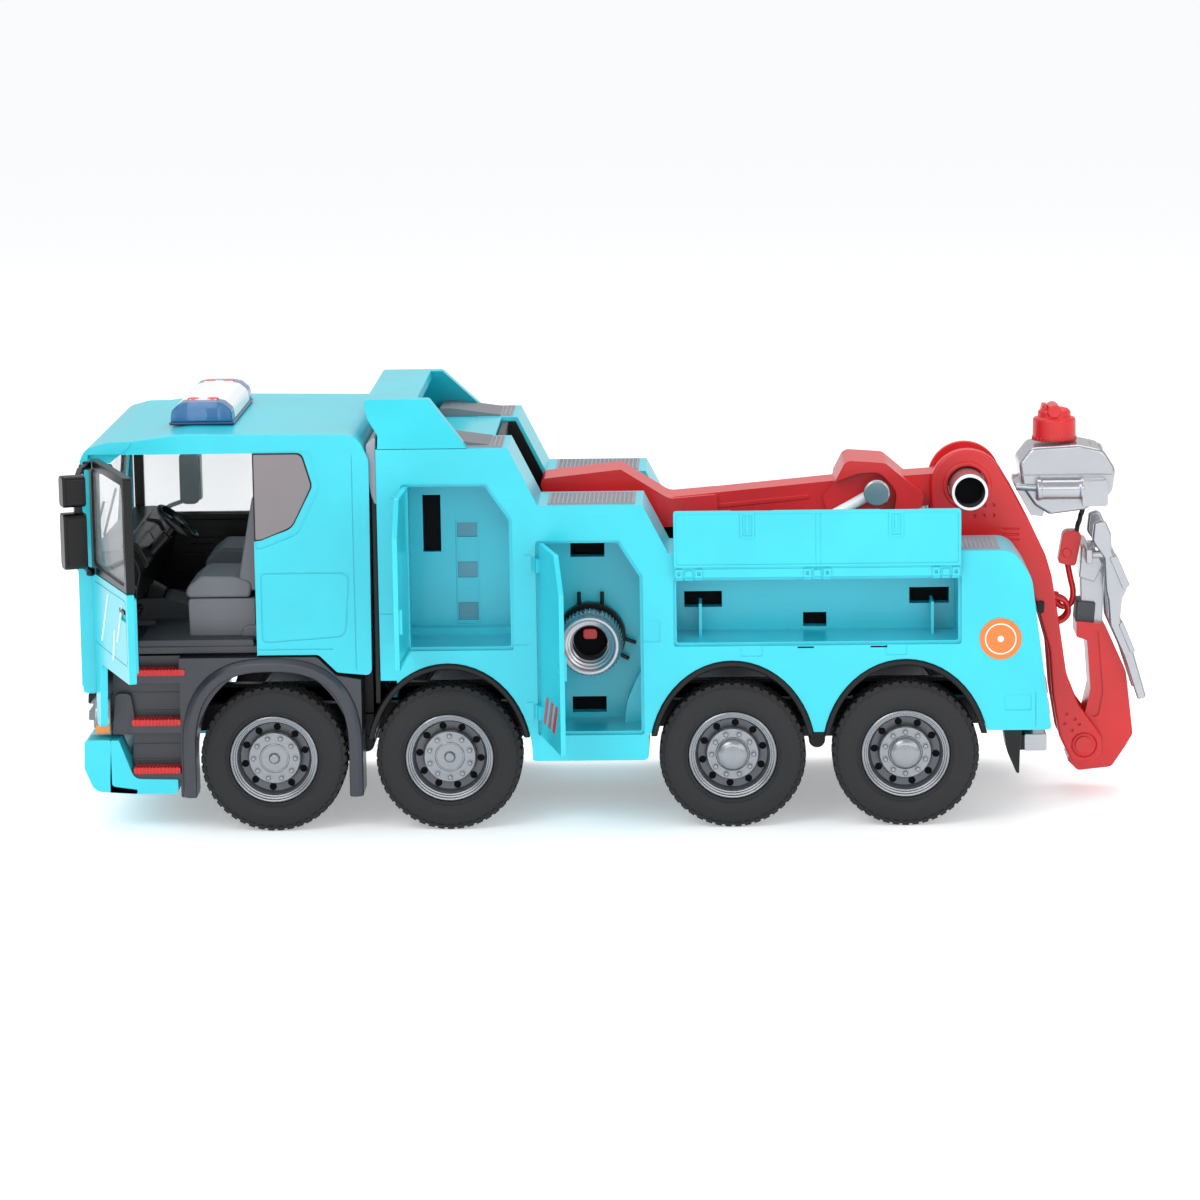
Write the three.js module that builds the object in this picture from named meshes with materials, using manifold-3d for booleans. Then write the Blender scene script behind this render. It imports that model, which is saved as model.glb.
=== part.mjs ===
// A toy tow truck: cab with opening doors, service body with opening lockers, lifting boom,
// folding underlift and hand winch. Millimetres, +Z up, the cab faces -X, the driver's side is -Y.
import * as THREE from "three";
import { mergeVertices } from "three/addons/utils/BufferGeometryUtils.js";
import Module from "manifold-3d";

const wasm = await Module();
wasm.setup();

// Driving dimensions of the whole truck
// The truck's centre plane and wheelbase, moved so that the origin is under the middle of the box
const centreLine = 30.9;
const lengthShift = -3;
const halfWidth = 91; // body sides
const tyreRadius = 40.35;
const tyreWidth = 22;
const rimRadius = 24.2;
const wheelPlane = 82; // middle of a tyre, from the centre plane
const axleRadius = 3;
const axleHeight = tyreRadius;
const axlePlaces = [-186, -89, 67, 162];
const clearance = 0.4;
const bodyTop = 212;
const stepTop = 180;
const deckTop = 153;
const wellHalf = 37.4; // half width of the boom's well
const doorSwing = 70; // the driver's door stands this far open, degrees
const frontLockerSwing = 92;
const winchLockerSwing = 77;
const doorHinge = { x: -283.4, y: -90.6 };
const hingeProud = 92.4; // locker hinge axes stand this far from the centre plane
const lockerDepths = { front: 45, winch: 50, tool: 50 }; // back walls, from the centre plane
const doorFace = { outer: 91, inner: 88.4 };
const doorRim = 1.2; // a locker door laps its opening by this much
const boomPivot = { x: -22, z: 160 };
const kneePivot = { x: 200, z: 178 };
const foldPivot = { x: 266, z: 29 };
const liftPin = { x: 149, z: 176 };
const liftFoot = { x: 62, z: 128 };

// One look for each kind of moulding
function look(color, roughness, metalness = 0) {
  return new THREE.MeshStandardMaterial({ color, roughness, metalness });
}
const looks = {
  turquoise: look(0x5cd9ec, 0.35),
  red: look(0xd92a2a, 0.4),
  black: look(0x1c1c20, 0.5),
  slate: look(0x4b4e54, 0.5),
  grey: look(0x7d8084, 0.5),
  tyre: look(0x37373a, 0.8),
  rim: look(0x96989b, 0.45),
  silver: look(0xbfc1c6, 0.35, 0.3),
  smoke: look(0x9b9698, 0.2),
  clear: look(0xdfe8ec, 0.1),
  blue: look(0x1f7fc0, 0.2),
  rope: look(0x222224, 0.7),
};

// Solids from three.js geometry, joined and cut with manifold
function solid(geometry) {
  const bare = geometry.index ? geometry.toNonIndexed() : geometry;
  const points = new THREE.BufferGeometry().setAttribute("position", bare.getAttribute("position"));
  const merged = mergeVertices(points, 1e-3);
  const made = { numProp: 3, vertProperties: merged.attributes.position.array };
  made.triVerts = new Uint32Array(merged.index.array);
  return new wasm.Manifold(new wasm.Mesh(made));
}

function join(...pieces) {
  return pieces.reduce((whole, piece) => whole.add(piece));
}

function cut(whole, ...pieces) {
  return pieces.reduce((rest, piece) => rest.subtract(piece), whole);
}

function block(x0, x1, y0, y1, z0, z1) {
  const box = new THREE.BoxGeometry(x1 - x0, y1 - y0, z1 - z0);
  box.translate((x0 + x1) / 2, (y0 + y1) / 2, (z0 + z1) / 2);
  return solid(box);
}

// A side outline, given as [x, z] points, made solid from y0 to y1
function slab(outline, y0, y1) {
  const shape = new THREE.Shape(outline.map(([x, z]) => new THREE.Vector2(x, z)));
  const plate = new THREE.ExtrudeGeometry(shape, { depth: y1 - y0, bevelEnabled: false });
  plate.rotateX(Math.PI / 2);
  plate.translate(0, y1, 0);
  return solid(plate);
}

// A round bar along Y
function bar(radius, x, z, y0, y1, sides = 12) {
  const round = new THREE.CylinderGeometry(radius, radius, y1 - y0, sides);
  round.translate(x, (y0 + y1) / 2, z);
  return solid(round);
}

// A round bar from one point to another
function strut(radius, from, to, sides = 8) {
  const start = new THREE.Vector3(...from);
  const span = new THREE.Vector3(...to).sub(start);
  const round = new THREE.CylinderGeometry(radius, radius, span.length(), sides);
  round.translate(0, span.length() / 2, 0);
  const turn = new THREE.Quaternion().setFromUnitVectors(new THREE.Vector3(0, 1, 0), span.normalize());
  round.applyQuaternion(turn);
  round.translate(...from);
  return solid(round);
}

// A round section turned about the Y axis: profile points are [radius, y]
function turned(profile, x, z, sides) {
  const lathe = new THREE.LatheGeometry(profile.map(([r, y]) => new THREE.Vector2(r, y)), sides);
  lathe.translate(x, 0, z);
  const made = solid(lathe);
  return made.volume() < 0 ? solid(flipped(lathe)) : made;
}

function flipped(geometry) {
  const turnedOver = geometry.index ? geometry.toNonIndexed() : geometry.clone();
  const place = turnedOver.attributes.position;
  for (let i = 0; i < place.count; i += 3) {
    const first = new THREE.Vector3().fromBufferAttribute(place, i + 1);
    const second = new THREE.Vector3().fromBufferAttribute(place, i + 2);
    place.setXYZ(i + 1, second.x, second.y, second.z);
    place.setXYZ(i + 2, first.x, first.y, first.z);
  }
  return turnedOver;
}

// A half-oval wheel arch seen from the side, open at the bottom
function archOutline(x, halfSpan, rise, steps = 10) {
  const outline = [[x - halfSpan, -5]];
  for (let i = 0; i <= steps; i += 1) {
    const turn = Math.PI - (Math.PI * i) / steps;
    outline.push([x + halfSpan * Math.cos(turn), axleHeight + rise * Math.sin(turn)]);
  }
  outline.push([x + halfSpan, -5]);
  return outline.reverse();
}

const truck = new THREE.Group();

// Places a solid in the truck as a named mesh
function place(name, made, material, parent = truck) {
  const surface = made.getMesh();
  const geometry = new THREE.BufferGeometry();
  const corners = new Float32Array(surface.vertProperties);
  geometry.setAttribute("position", new THREE.BufferAttribute(corners, 3));
  geometry.setIndex(new THREE.BufferAttribute(new Uint32Array(surface.triVerts), 1));
  const mesh = new THREE.Mesh(geometry, material);
  mesh.name = name;
  parent.add(mesh);
}

// A group that is turned about a point, for pieces that are modelled closed and stored open
function swung(x, y, z, axis, degrees, parent = truck) {
  const hinge = new THREE.Group();
  hinge.position.set(x, y, z);
  hinge.rotateOnAxis(axis, THREE.MathUtils.degToRad(degrees));
  const inner = new THREE.Group();
  inner.position.set(-x, -y, -z);
  hinge.add(inner);
  parent.add(hinge);
  return inner;
}

function mirrored(made) {
  return made.mirror([0, 1, 0]);
}

const upright = new THREE.Vector3(0, 0, 1);
const lengthwise = new THREE.Vector3(1, 0, 0);

// Chassis: two rails, cross members, axle hangers and the rear underrun bar's arms
function chassis() {
  const railLow = 45;
  const railHigh = 60;
  const railIn = 26;
  const railOut = 33;
  let frame = join(
    block(-258, 236, -railOut, -railIn, railLow, railHigh),
    block(-258, 236, railIn, railOut, railLow, railHigh),
  );
  for (const x of [-250, -140, -20, 115, 228]) {
    frame = frame.add(block(x - 4, x + 4, -railIn - 1, railIn + 1, railLow + 2, railHigh - 2));
  }
  for (const x of axlePlaces) {
    const hanger = [[x - 7, 34], [x + 7, 34], [x + 12, railLow + 1], [x - 12, railLow + 1]];
    frame = join(frame, slab(hanger, -railOut, -railIn), slab(hanger, railIn, railOut));
    frame = frame.subtract(bar(axleRadius + 0.4, x, axleHeight, -40, 40, 8));
  }
  place("chassis_frame", frame, looks.black);
}

// One axle with its two rims, and the two tyres on it
function wheelset(index) {
  const x = axlePlaces[index];
  const hubReach = index < 2 ? 8.5 : 10;
  const lip = tyreWidth / 2 - 1.6;
  const rimProfile = [
    [0, -7], [21.5, -7], [22.4, -lip], [rimRadius, -lip], [rimRadius, lip],
    [22.4, lip], [20.5, 4], [10, 5.5], [9, hubReach], [0, hubReach],
  ];
  const tyreProfile = [
    [rimRadius + 0.5, -lip - 0.6], [35, -tyreWidth / 2], [tyreRadius, -8], [tyreRadius, 8],
    [35, tyreWidth / 2], [rimRadius + 0.5, lip + 0.6], [rimRadius + 0.5, -lip - 0.6],
  ];
  const rim = turned(rimProfile, 0, 0, 16);
  const tyre = turned(tyreProfile, 0, 0, 24);
  const right = (made) => made.translate(x, wheelPlane, axleHeight);
  const left = (made) => mirrored(made).translate(x, -wheelPlane, axleHeight);
  const axle = bar(axleRadius, x, axleHeight, -wheelPlane, wheelPlane, 8);
  place(`wheelset_${index + 1}`, join(left(rim), right(rim), axle), looks.rim);
  place(`tyre_${index + 1}_left`, left(tyre), looks.tyre);
  place(`tyre_${index + 1}_right`, right(tyre), looks.tyre);
}

// Cab: one moulded shell with door openings, quarter windows, windscreen and grille openings
const cabSide = [
  [-291, 80], [-194, 80], [-194, 98.2], [-160, 98.2], [-150, 88.2], [-131, 86.4], [-130, 210],
  [-138, 217], [-160, 220], [-230, 221], [-262, 218.5], [-280, 212], [-285.4, 205], [-291, 146],
];
const quarterWindow = [
  [-199, 161.5], [-197, 161.5], [-172, 170], [-161, 193], [-166, 210.5], [-199, 210.5],
];

function cabShell() {
  const inside = [
    [-287.5, 70], [-133.5, 70], [-133.5, 208], [-140, 213.5], [-160, 216.5], [-230, 217.5],
    [-262, 215], [-278, 209], [-282, 203.5], [-287.5, 145.5],
  ];
  let shell = slab(cabSide, -88.6, 88.6);
  shell = shell.subtract(slab(inside, -85, 85));
  for (const side of [-1, 1]) {
    const bevel = new THREE.BoxGeometry(220, 14, 14).rotateX(Math.PI / 4);
    shell = shell.subtract(solid(bevel.translate(-210, side * 92, 222.5)));
  }
  shell = cut(
    shell,
    block(-282.8, -193.6, -95, -84.4, 40, 210.5),
    block(-282.8, -193.6, 84.4, 95, 40, 210.5),
    slab(quarterWindow, -95, 95),
    slab([[-300, 148], [-270, 148], [-270, 203], [-300, 203]], -79, 79),
    block(-295, -280, -64, 64, 86, 140),
  );
  place("cab_shell", shell, looks.turquoise);
}

function cabInside() {
  const floor = join(
    block(-286.8, -134.2, -84.4, 84.4, 99, 103),
    block(-286.8, -283.6, -84.4, 84.4, 103, 139),
    block(-137.4, -134.2, -84.4, 84.4, 103, 150),
    slab([[-286, 102], [-232, 102], [-232, 108], [-258, 117], [-286, 117]], -16, 16),
  );
  place("cab_floor", floor, looks.slate);
  let seats = block(-230, -186, -72, 72, 103.3, 108);
  for (const side of [-1, 1]) {
    const base = [
      [-233, 103.3], [-190, 103.3], [-184, 178], [-192, 186], [-199, 182], [-205, 139],
      [-233, 137], [-234, 127],
    ];
    seats = seats.add(slab(base, side * 47 - 25, side * 47 + 25));
  }
  place("seats", seats, looks.grey);
  const dash = [[-283.2, 139.4], [-272, 118], [-262, 124], [-252, 150], [-262, 163], [-281.6, 166]];
  place("dashboard", slab(dash, -84.2, 84.2), looks.black);
}

function steeringWheel() {
  const rimRing = new THREE.TorusGeometry(13, 1.7, 6, 16);
  const spokes = join(
    solid(new THREE.BoxGeometry(25, 3.4, 2)),
    solid(new THREE.CylinderGeometry(3.5, 3.5, 4, 8).rotateX(Math.PI / 2)),
    solid(new THREE.CylinderGeometry(1.8, 1.8, 9, 8).rotateX(Math.PI / 2).translate(0, 0, -5)),
  );
  const wheel = join(solid(rimRing), spokes);
  const placed = wheel.rotate([0, 40, 0]).translate(-241, -45, 166);
  place("steering_wheel", placed, looks.black);
}

// Panes: windscreen, quarter windows, roof light bar, grille, lamps and bumper
function cabTrim() {
  const screen = [[-289.6, 148.4], [-287.4, 148.4], [-282.4, 202.6], [-284.6, 202.6]];
  place("windscreen", slab(screen, -78.6, 78.6), looks.clear);
  const pane = [[-193.2, 163.4], [-172.4, 170.6], [-161.6, 193], [-166.4, 210.1], [-193.2, 210.1]];
  place("quarter_window_left", slab(pane, -88, -86), looks.smoke);
  place("quarter_window_right", slab(pane, 86, 88), looks.smoke);
  const barSide = [
    [-243, 221.4], [-207, 221.4], [-207, 226], [-210, 233.4], [-216, 235.6], [-234, 235.6], [-240, 233.4],
    [-243, 226],
  ];
  place("light_bar", slab(barSide, -52, 52), looks.blue);
  const grille = join(
    block(-292.5, -288, -63.5, 63.5, 86.4, 139.6),
    block(-290, -287.9, -60, 60, 88, 138),
  );
  place("grille", grille, looks.black);
  const front = [[-291, 34], [-285, 23], [-276, 22], [-276, 52], [-290.5, 52]];
  const bumper = join(
    slab(front, -halfWidth, halfWidth),
    ...[-1, 1].map((side) => wing(side)),
  );
  place("bumper", bumper, looks.turquoise);
  for (const [side, name] of [[-1, "left"], [1, "right"]]) {
    const lamp = slab([[-289, 54], [-276, 54], [-276, 74], [-287.5, 74]], 62, 85.4);
    place(`headlight_${name}`, side < 0 ? mirrored(lamp) : lamp, looks.clear);
  }
}

function wing(side) {
  const edge = join(block(-277, -266, 80, halfWidth, 30, 52), block(-277, -239, 70, halfWidth, 22, 29.6));
  return side < 0 ? mirrored(edge) : edge;
}

// Slate wing panel with the step well, and the red step treads in it
function stepPanel() {
  const outline = [
    [-275, 30], [-238, 30], [-238, 19], [-137, 19], [-137, 84.6], [-150.6, 87], [-160.6, 97.4],
    [-275, 97.4],
  ];
  let panel = slab(outline, 66, halfWidth);
  panel = cut(
    panel,
    slab(archOutline(-186, 42.5, 52), 60, 95),
    block(-280, -236, 80, 95, 52.4, 98),
    block(-265.6, -236, 80, 95, 29, 60),
    block(-280, -265, 60, 95, 29, 53),
  );
  const pod = slab([[-275.6, 54], [-265, 54], [-265, 77], [-275.6, 77]], 70, 85.4);
  panel = panel.add(pod);
  let treads = block(-260, -240, 80.4, 82.4, 31, 91);
  for (const low of [31, 58, 86]) treads = treads.add(block(-260.5, -237, 82, 90.6, low, low + 5));
  for (const [side, name] of [[-1, "left"], [1, "right"]]) {
    place(`step_panel_${name}`, side < 0 ? mirrored(panel) : panel, looks.slate);
    place(`step_treads_${name}`, side < 0 ? mirrored(treads) : treads, looks.red);
  }
}

// Cab door, modelled closed on the left side: skin, window frame and glass, and the mirror on its arms
function cabDoors() {
  const outline = [
    [-282.3, 62], [-273, 60.4], [-266, 97.6], [-194.2, 98.8], [-194.2, 210], [-277, 210], [-282.3, 205],
  ];
  const opening = [[-276, 150], [-200, 150], [-200, 204], [-274, 204]];
  const skin = slab(outline, -90.4, -86.4);
  const lowerFill = block(-281, -196, -87, -85.6, 104, 146);
  const panel = cut(join(skin, lowerFill), slab(opening, -100, -80));
  const glass = slab([[-275.5, 150.5], [-200.5, 150.5], [-200.5, 203.5], [-273.6, 203.5]], -89, -87.6);
  const housing = join(
    block(-257, -246, -112.6, -99.6, 188, 205),
    block(-257, -246, -112.6, -99.6, 154, 184.5),
    block(-254, -249, -105, -101, 184, 189),
    strut(1.5, [-273, -93.2, 207], [-251, -104, 203], 6),
    strut(1.5, [-273, -93.2, 148.5], [-251, -104, 156], 6),
    strut(2.4, [-273, -93.2, 146], [-273, -93.2, 150.5]),
    strut(2.4, [-273, -93.2, 204.5], [-273, -93.2, 209]),
  );
  const near = swung(doorHinge.x, doorHinge.y, 0, upright, -doorSwing);
  for (const [name, parent, turn] of [["left", near, (made) => made], ["right", truck, mirrored]]) {
    place(`door_${name}`, turn(panel), looks.turquoise, parent);
    place(`door_glass_${name}`, turn(glass), looks.clear, parent);
    place(`mirror_${name}`, turn(housing), looks.black, parent);
  }
}

// Service body: one side moulding, mirrored for the other side
const lockerOutlines = {
  front: [[-111, 102], [-54, 102], [-54, 172], [-67, 191], [-111, 191]],
  winch: [[-38, 54], [17, 54], [17, 140], [5, 159], [-38, 159]],
  tool: [[37, 103], [191, 103], [191, 137.6], [37, 137.6]],
};

// The same outline with each side moved out by about the margin
function grown(outline, margin) {
  const box = new THREE.Box2().setFromPoints(outline.map(([x, z]) => new THREE.Vector2(x, z)));
  const middle = box.getCenter(new THREE.Vector2());
  const size = box.getSize(new THREE.Vector2());
  const wide = 1 + (2 * margin) / size.x;
  const high = 1 + (2 * margin) / size.y;
  return outline.map(([x, z]) => [middle.x + (x - middle.x) * wide, middle.y + (z - middle.y) * high]);
}

function bodySide() {
  const outline = [
    [-126, 53], [-44, 53], [-44, 38], [21, 38], [21, 53], [242, 53], [230.5, 141], [225, 149],
    [214, deckTop], [33, deckTop], [19, stepTop], [-38, stepTop], [-54, bodyTop], [-126, bodyTop],
  ];
  let side = slab(outline, wellHalf + 0.6, halfWidth);
  for (const x of axlePlaces.slice(1)) side = side.subtract(slab(archOutline(x, 46, 53), 30, 99));
  side = side.subtract(block(-140, -117, 30, 99, 40, 84));
  for (const [name, outline] of Object.entries(lockerOutlines)) {
    side = side.subtract(slab(outline, lockerDepths[name], 99));
    side = side.subtract(slab(grown(outline, doorRim + clearance), doorFace.inner - 0.4, 99));
  }
  return side;
}

function serviceBody() {
  const side = bodySide();
  place("body_side_left", mirrored(side), looks.turquoise);
  place("body_side_right", side, looks.turquoise);
  const crest = [
    [-134, 237], [-130, 226], [-125, 220], [-125, bodyTop + 0.4], [-76, bodyTop + 0.4], [-98, 237],
  ];
  const hollow = [
    [-112, bodyTop + 0.3], [-60, bodyTop + 0.3], [-60, 250], [-104, 250], [-104, 233], [-112, 226],
  ];
  const flank = halfWidth - 0.4;
  const front = [
    [-flank, bodyTop], [flank, bodyTop], [flank, 213], [flank - 22.6, 237.1], [22.6 - flank, 237.1],
    [-flank, 213],
  ];
  const inside = [
    [-82, bodyTop - 1], [82, bodyTop - 1], [82, 213], [47.3, 250], [-47.3, 250], [-82, 213],
  ];
  const across = (outline) => slab(outline, 50, 150).rotate([0, 0, 90]);
  let headboard = slab(crest, -flank, flank).intersect(across(front));
  headboard = cut(headboard, slab(hollow, -82, 82).intersect(across(inside)));
  const deck = wellHalf - 0.2;
  headboard = join(
    headboard,
    block(-125, -121, -deck, deck, 64, bodyTop + 2),
    block(-125, -63.2, -deck, deck, 208, bodyTop),
  );
  place("headboard", headboard, looks.turquoise);
  const wall = [
    [-62.6, 104], [206, 104], [206, deckTop - 2], [32, deckTop - 2], [18, stepTop - 2],
    [-39, stepTop - 2],
    [-55, bodyTop - 2], [-62.6, bodyTop - 2],
  ];
  let well = join(
    slab(wall, -wellHalf, -wellHalf + 3),
    slab(wall, wellHalf - 3, wellHalf),
    block(-62.6, 206, -wellHalf, wellHalf, 104, 108),
    block(-62.6, -59, -wellHalf, wellHalf, 104, bodyTop - 2),
  );
  for (const y of [-30, 30]) {
    well = well.add(block(liftFoot.x - 7, liftFoot.x + 7, y - 2, y + 2, 107, liftFoot.z + 6));
  }
  for (const y of [-24, 24]) {
    well = well.add(block(boomPivot.x - 7, boomPivot.x + 7, y - 2.5, y + 2.5, 107, boomPivot.z + 6));
  }
  well = cut(
    well,
    bar(3.4, liftFoot.x, liftFoot.z, -33, 33),
    bar(3.4, boomPivot.x, boomPivot.z, -32, 32),
  );
  place("boom_well", well, looks.black);
}

// A hinge knuckle with its leaf on a locker door's front edge, at height z
function sideKnuckle(x, z) {
  const barrel = new THREE.CylinderGeometry(1.1, 1.1, 8, 6).rotateX(Math.PI / 2);
  return join(
    solid(barrel.translate(x, -hingeProud, z)),
    block(x, x + 5, -93.1, -91.3, z - 4, z + 4),
    block(x + 1, x + 5, -93.1, -90, z - 4, z + 4),
  );
}

// The same along a lid's top edge
function lidKnuckle(x, z) {
  return join(
    bar(1.1, 0, z, -5, 5, 6).rotate([0, 0, 90]).translate(x, -hingeProud, 0),
    block(x - 5, x + 5, -93.1, -91.3, z - 5, z),
    block(x - 5, x + 5, -93.1, -90, z - 5, z - 1),
  );
}

// Locker doors and tool box lids, modelled closed on the left side
function lockers() {
  const panels = {};
  for (const [name, outline] of Object.entries(lockerOutlines)) {
    panels[name] = slab(grown(outline, doorRim), -doorFace.outer, -doorFace.inner);
  }
  const swings = { front: frontLockerSwing, winch: winchLockerSwing };
  const knuckleHeights = { front: [114, 180], winch: [66, 148] };
  for (const name of ["front", "winch"]) {
    const hingeX = lockerOutlines[name][0][0] - doorRim - 0.6;
    const door = join(panels[name], ...knuckleHeights[name].map((z) => sideKnuckle(hingeX, z)));
    const open = swung(hingeX, -hingeProud, 0, upright, -swings[name]);
    place(`locker_door_${name}_left`, door, looks.turquoise, open);
    place(`locker_door_${name}_right`, mirrored(door), looks.turquoise);
  }
  const hingeZ = lockerOutlines.tool[2][1] + doorRim + 0.6;
  const lid = join(panels.tool, ...[44, 114, 184].map((x) => lidKnuckle(x, hingeZ)));
  place("tool_lid_left", lid, looks.turquoise, swung(0, -hingeProud, hingeZ, lengthwise, -180));
  place("tool_lid_right", mirrored(lid), looks.turquoise);
}

// Hand winch knob in the driver's side locker
function winchKnob() {
  const x = -11;
  const z = 101;
  const knob = join(
    bar(17.6, x, z, -85, -66, 20),
    bar(15.6, x, z, -67, -54, 20),
    bar(19, x, z, -54.5, -50.5, 20),
  );
  place("winch_knob", knob.subtract(bar(9.8, x, z, -90, -60)), looks.silver);
}

// Boom: front hump, slim beam and rear hump with the lift pin
function boom() {
  const nose = [
    [-38, 176], [-40, 184], [6, 189], [33, 172], [60, 172], [60, 158], [33, 156], [-10, 154],
    [-30, 154], [-38, 162],
  ];
  const beam = [
    [30, 172], [124, 181], [180, 184], [196, 190], [206, 184], [206, 170], [150, 162], [30, 157],
  ];
  const hump = [[122, 172], [132, 194], [154, 192], [175, 174], [174, 166], [120, 164]];
  let made = join(
    slab(nose, -17, 17),
    slab(beam, -12.6, 12.6),
    slab(hump, -24, 24),
    bar(3, liftPin.x, liftPin.z, -30, 30),
    bar(6.4, liftPin.x, liftPin.z, -31, -27.6),
    bar(6.4, liftPin.x, liftPin.z, 27.6, 31),
    bar(12, kneePivot.x, kneePivot.z, -12.6, 12.6, 20),
  );
  const rodWay = [[100, 150], [100, 171], [143, 184], [156, 184], [157, 160]];
  const core = bar(3, liftPin.x, liftPin.z, -30, 30);
  for (const [y0, y1] of [[-30, -16], [16, 30]]) {
    made = made.subtract(slab(rodWay, y0, y1).subtract(core));
  }
  made = made.subtract(bar(10.9, kneePivot.x, kneePivot.z, -40, 40, 20));
  made = made.add(bar(3, boomPivot.x, boomPivot.z, -31, 31));
  place("boom", made, looks.red);
}

// Lift cylinders on both sides of the boom: barrels on one cross shaft, rods joined under the beam
function liftCylinders() {
  const span = new THREE.Vector2(liftPin.x - liftFoot.x, liftPin.z - liftFoot.z);
  const along = span.clone().normalize();
  const at = (distance, y) => [liftFoot.x + along.x * distance, y, liftFoot.z + along.y * distance];
  let barrels = bar(3, liftFoot.x, liftFoot.z, -32.6, 32.6);
  let rods = strut(1.8, at(62, -22), at(62, 22));
  for (const y of [-22, 22]) {
    const tube = strut(5, at(-2, y), at(52, y), 12);
    barrels = barrels.add(tube.subtract(strut(3.5, at(8, y), at(60, y), 12)));
    rods = rods.add(strut(3, at(12, y), at(span.length() - 5.5, y), 12));
  }
  place("lift_barrels", barrels, looks.silver);
  place("lift_rods", rods, looks.silver);
}

// Tail arm: two side plates hung from the knee tube, with the winch head and the hook's loop behind
function tailArm() {
  const plate = [
    [178, 158], [178, 178], [182, 190], [191, 198], [200, 200.5], [210, 198], [219, 190],
    [226, 176], [236, 155],
    [244, 138], [247.5, 126], [250.5, 108], [256, 70], [263, 52], [276, 34], [276, 24],
    [270, 18.4], [259, 19],
    [252, 34], [248, 58], [246, 84], [239, 109], [232, 131], [222, 139], [206, 146.5], [186, 148],
  ];
  let arm = join(
    slab(plate, -19, -13.2),
    slab(plate, 13.2, 19),
    slab([[222, 142], [240, 132], [246, 112], [250, 86], [247, 84], [240, 109], [233, 131]], -14, 14),
    bar(5, foldPivot.x, foldPivot.z, -21, 21),
    bar(2, 248, 100, -6, 6, 8),
    slab([[246, 96], [252, 96], [257, 104], [257, 111], [254, 111], [254, 106], [250, 101],
      [246, 101]], -2, 2),
  );
  arm = arm.subtract(bar(10.9, kneePivot.x, kneePivot.z, -40, 40, 20));
  place("tail_arm", arm, looks.red);
  const tube = bar(10.2, kneePivot.x, kneePivot.z, -45, 45, 20);
  place("knee_tube", tube.subtract(bar(8.4, kneePivot.x, kneePivot.z, -50, 50, 20)), looks.silver);
}

// Underlift: a folding tongue between the tail arm's plates, with two fork arms on its end
function underlift() {
  const tongue = [
    [257, 19], [263, 13], [282, 15], [290, 27], [294, 34], [290, 70], [278, 97], [262, 99],
    [262, 90], [268, 88],
    [270, 60], [266, 42],
  ];
  let stinger = join(
    slab(tongue, -12.8, 12.8),
    slab([[265, 96], [277, 95], [278, 124], [268, 140], [264.5, 122]], -7, 7),
    block(266, 269.6, -26, 26, 134, 142),
  );
  stinger = stinger.subtract(bar(5.5, foldPivot.x, foldPivot.z, -22, 22));
  place("underlift", stinger, looks.red);
  const fork = [
    [271, 156], [277, 158], [280.5, 150], [281, 141], [284, 133], [290, 119], [287, 113],
    [286, 102], [293, 84],
    [301, 56], [296, 55], [288, 80], [280, 98], [279, 112], [277.6, 118], [276.6, 136], [270, 146],
  ];
  const arm = slab(fork, 15, 21);
  for (const [side, name] of [[-1, "left"], [1, "right"]]) {
    place(`fork_${name}`, side < 0 ? mirrored(arm) : arm, looks.silver);
  }
}

// Winch head, its swivel cap, the doubled rope and the hook in the arm's loop
function winchHead() {
  const body = [
    [231, 176], [229, 190], [236, 199], [262, 200], [276, 197], [283, 185], [280, 172],
    [266, 163.5], [246, 161],
    [238, 164],
  ];
  let head = join(
    slab(body, -20, 20),
    block(262, 278, -27, 27, 166, 181),
    bar(5.5, 246, 177, -26, 26),
    slab([[226.5, 177], [231, 178], [244, 166], [243, 159], [236, 160]], -12.8, 12.8),
  );
  head = head.subtract(block(258, 274, -6.4, 6.4, 150, 176));
  place("winch_head", head, looks.silver);
  const cap = solid(new THREE.CylinderGeometry(11.6, 12, 19, 16).rotateX(Math.PI / 2).translate(250, 0, 210));
  place("swivel_cap", cap, looks.red);
  const rope = join(
    strut(1, [268.5, -3, 172], [262.5, -3, 149.6], 6),
    strut(1, [268.5, 3, 172], [262.5, 3, 149.6], 6),
    block(266.4, 270.6, -4, 4, 170, 174),
  );
  place("winch_rope", rope, looks.rope);
  const hook = join(
    slab([[252, 131], [262, 129], [265.5, 147], [262, 149.2], [255, 149.2]], -5, 5),
    slab([[253, 132], [259, 131], [261, 118], [264, 110], [262, 105], [258.5, 113], [255, 120]],
      -1.6, 1.6),
  );
  place("hook", hook, looks.red);
}

// Rear underrun bar under the body's tail
function underrunBar() {
  const made = join(
    block(229, 239, -62, 62, 35, 44.6),
    block(222, 230, -41, -34, 36, 52.6),
    block(222, 230, 34, 41, 36, 52.6),
  );
  place("underrun_bar", made, looks.silver);
}

chassis();
for (let index = 0; index < axlePlaces.length; index += 1) wheelset(index);
cabShell();
cabInside();
steeringWheel();
cabTrim();
stepPanel();
cabDoors();
serviceBody();
lockers();
winchKnob();
boom();
liftCylinders();
tailArm();
underlift();
winchHead();
underrunBar();

const part = new THREE.Group();
truck.position.set(lengthShift, centreLine, 0);
part.add(truck);
export default part;
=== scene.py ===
# Toy tow truck: looks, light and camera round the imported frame
import math
import bmesh
import bpy
from mathutils import Matrix, Vector


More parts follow.
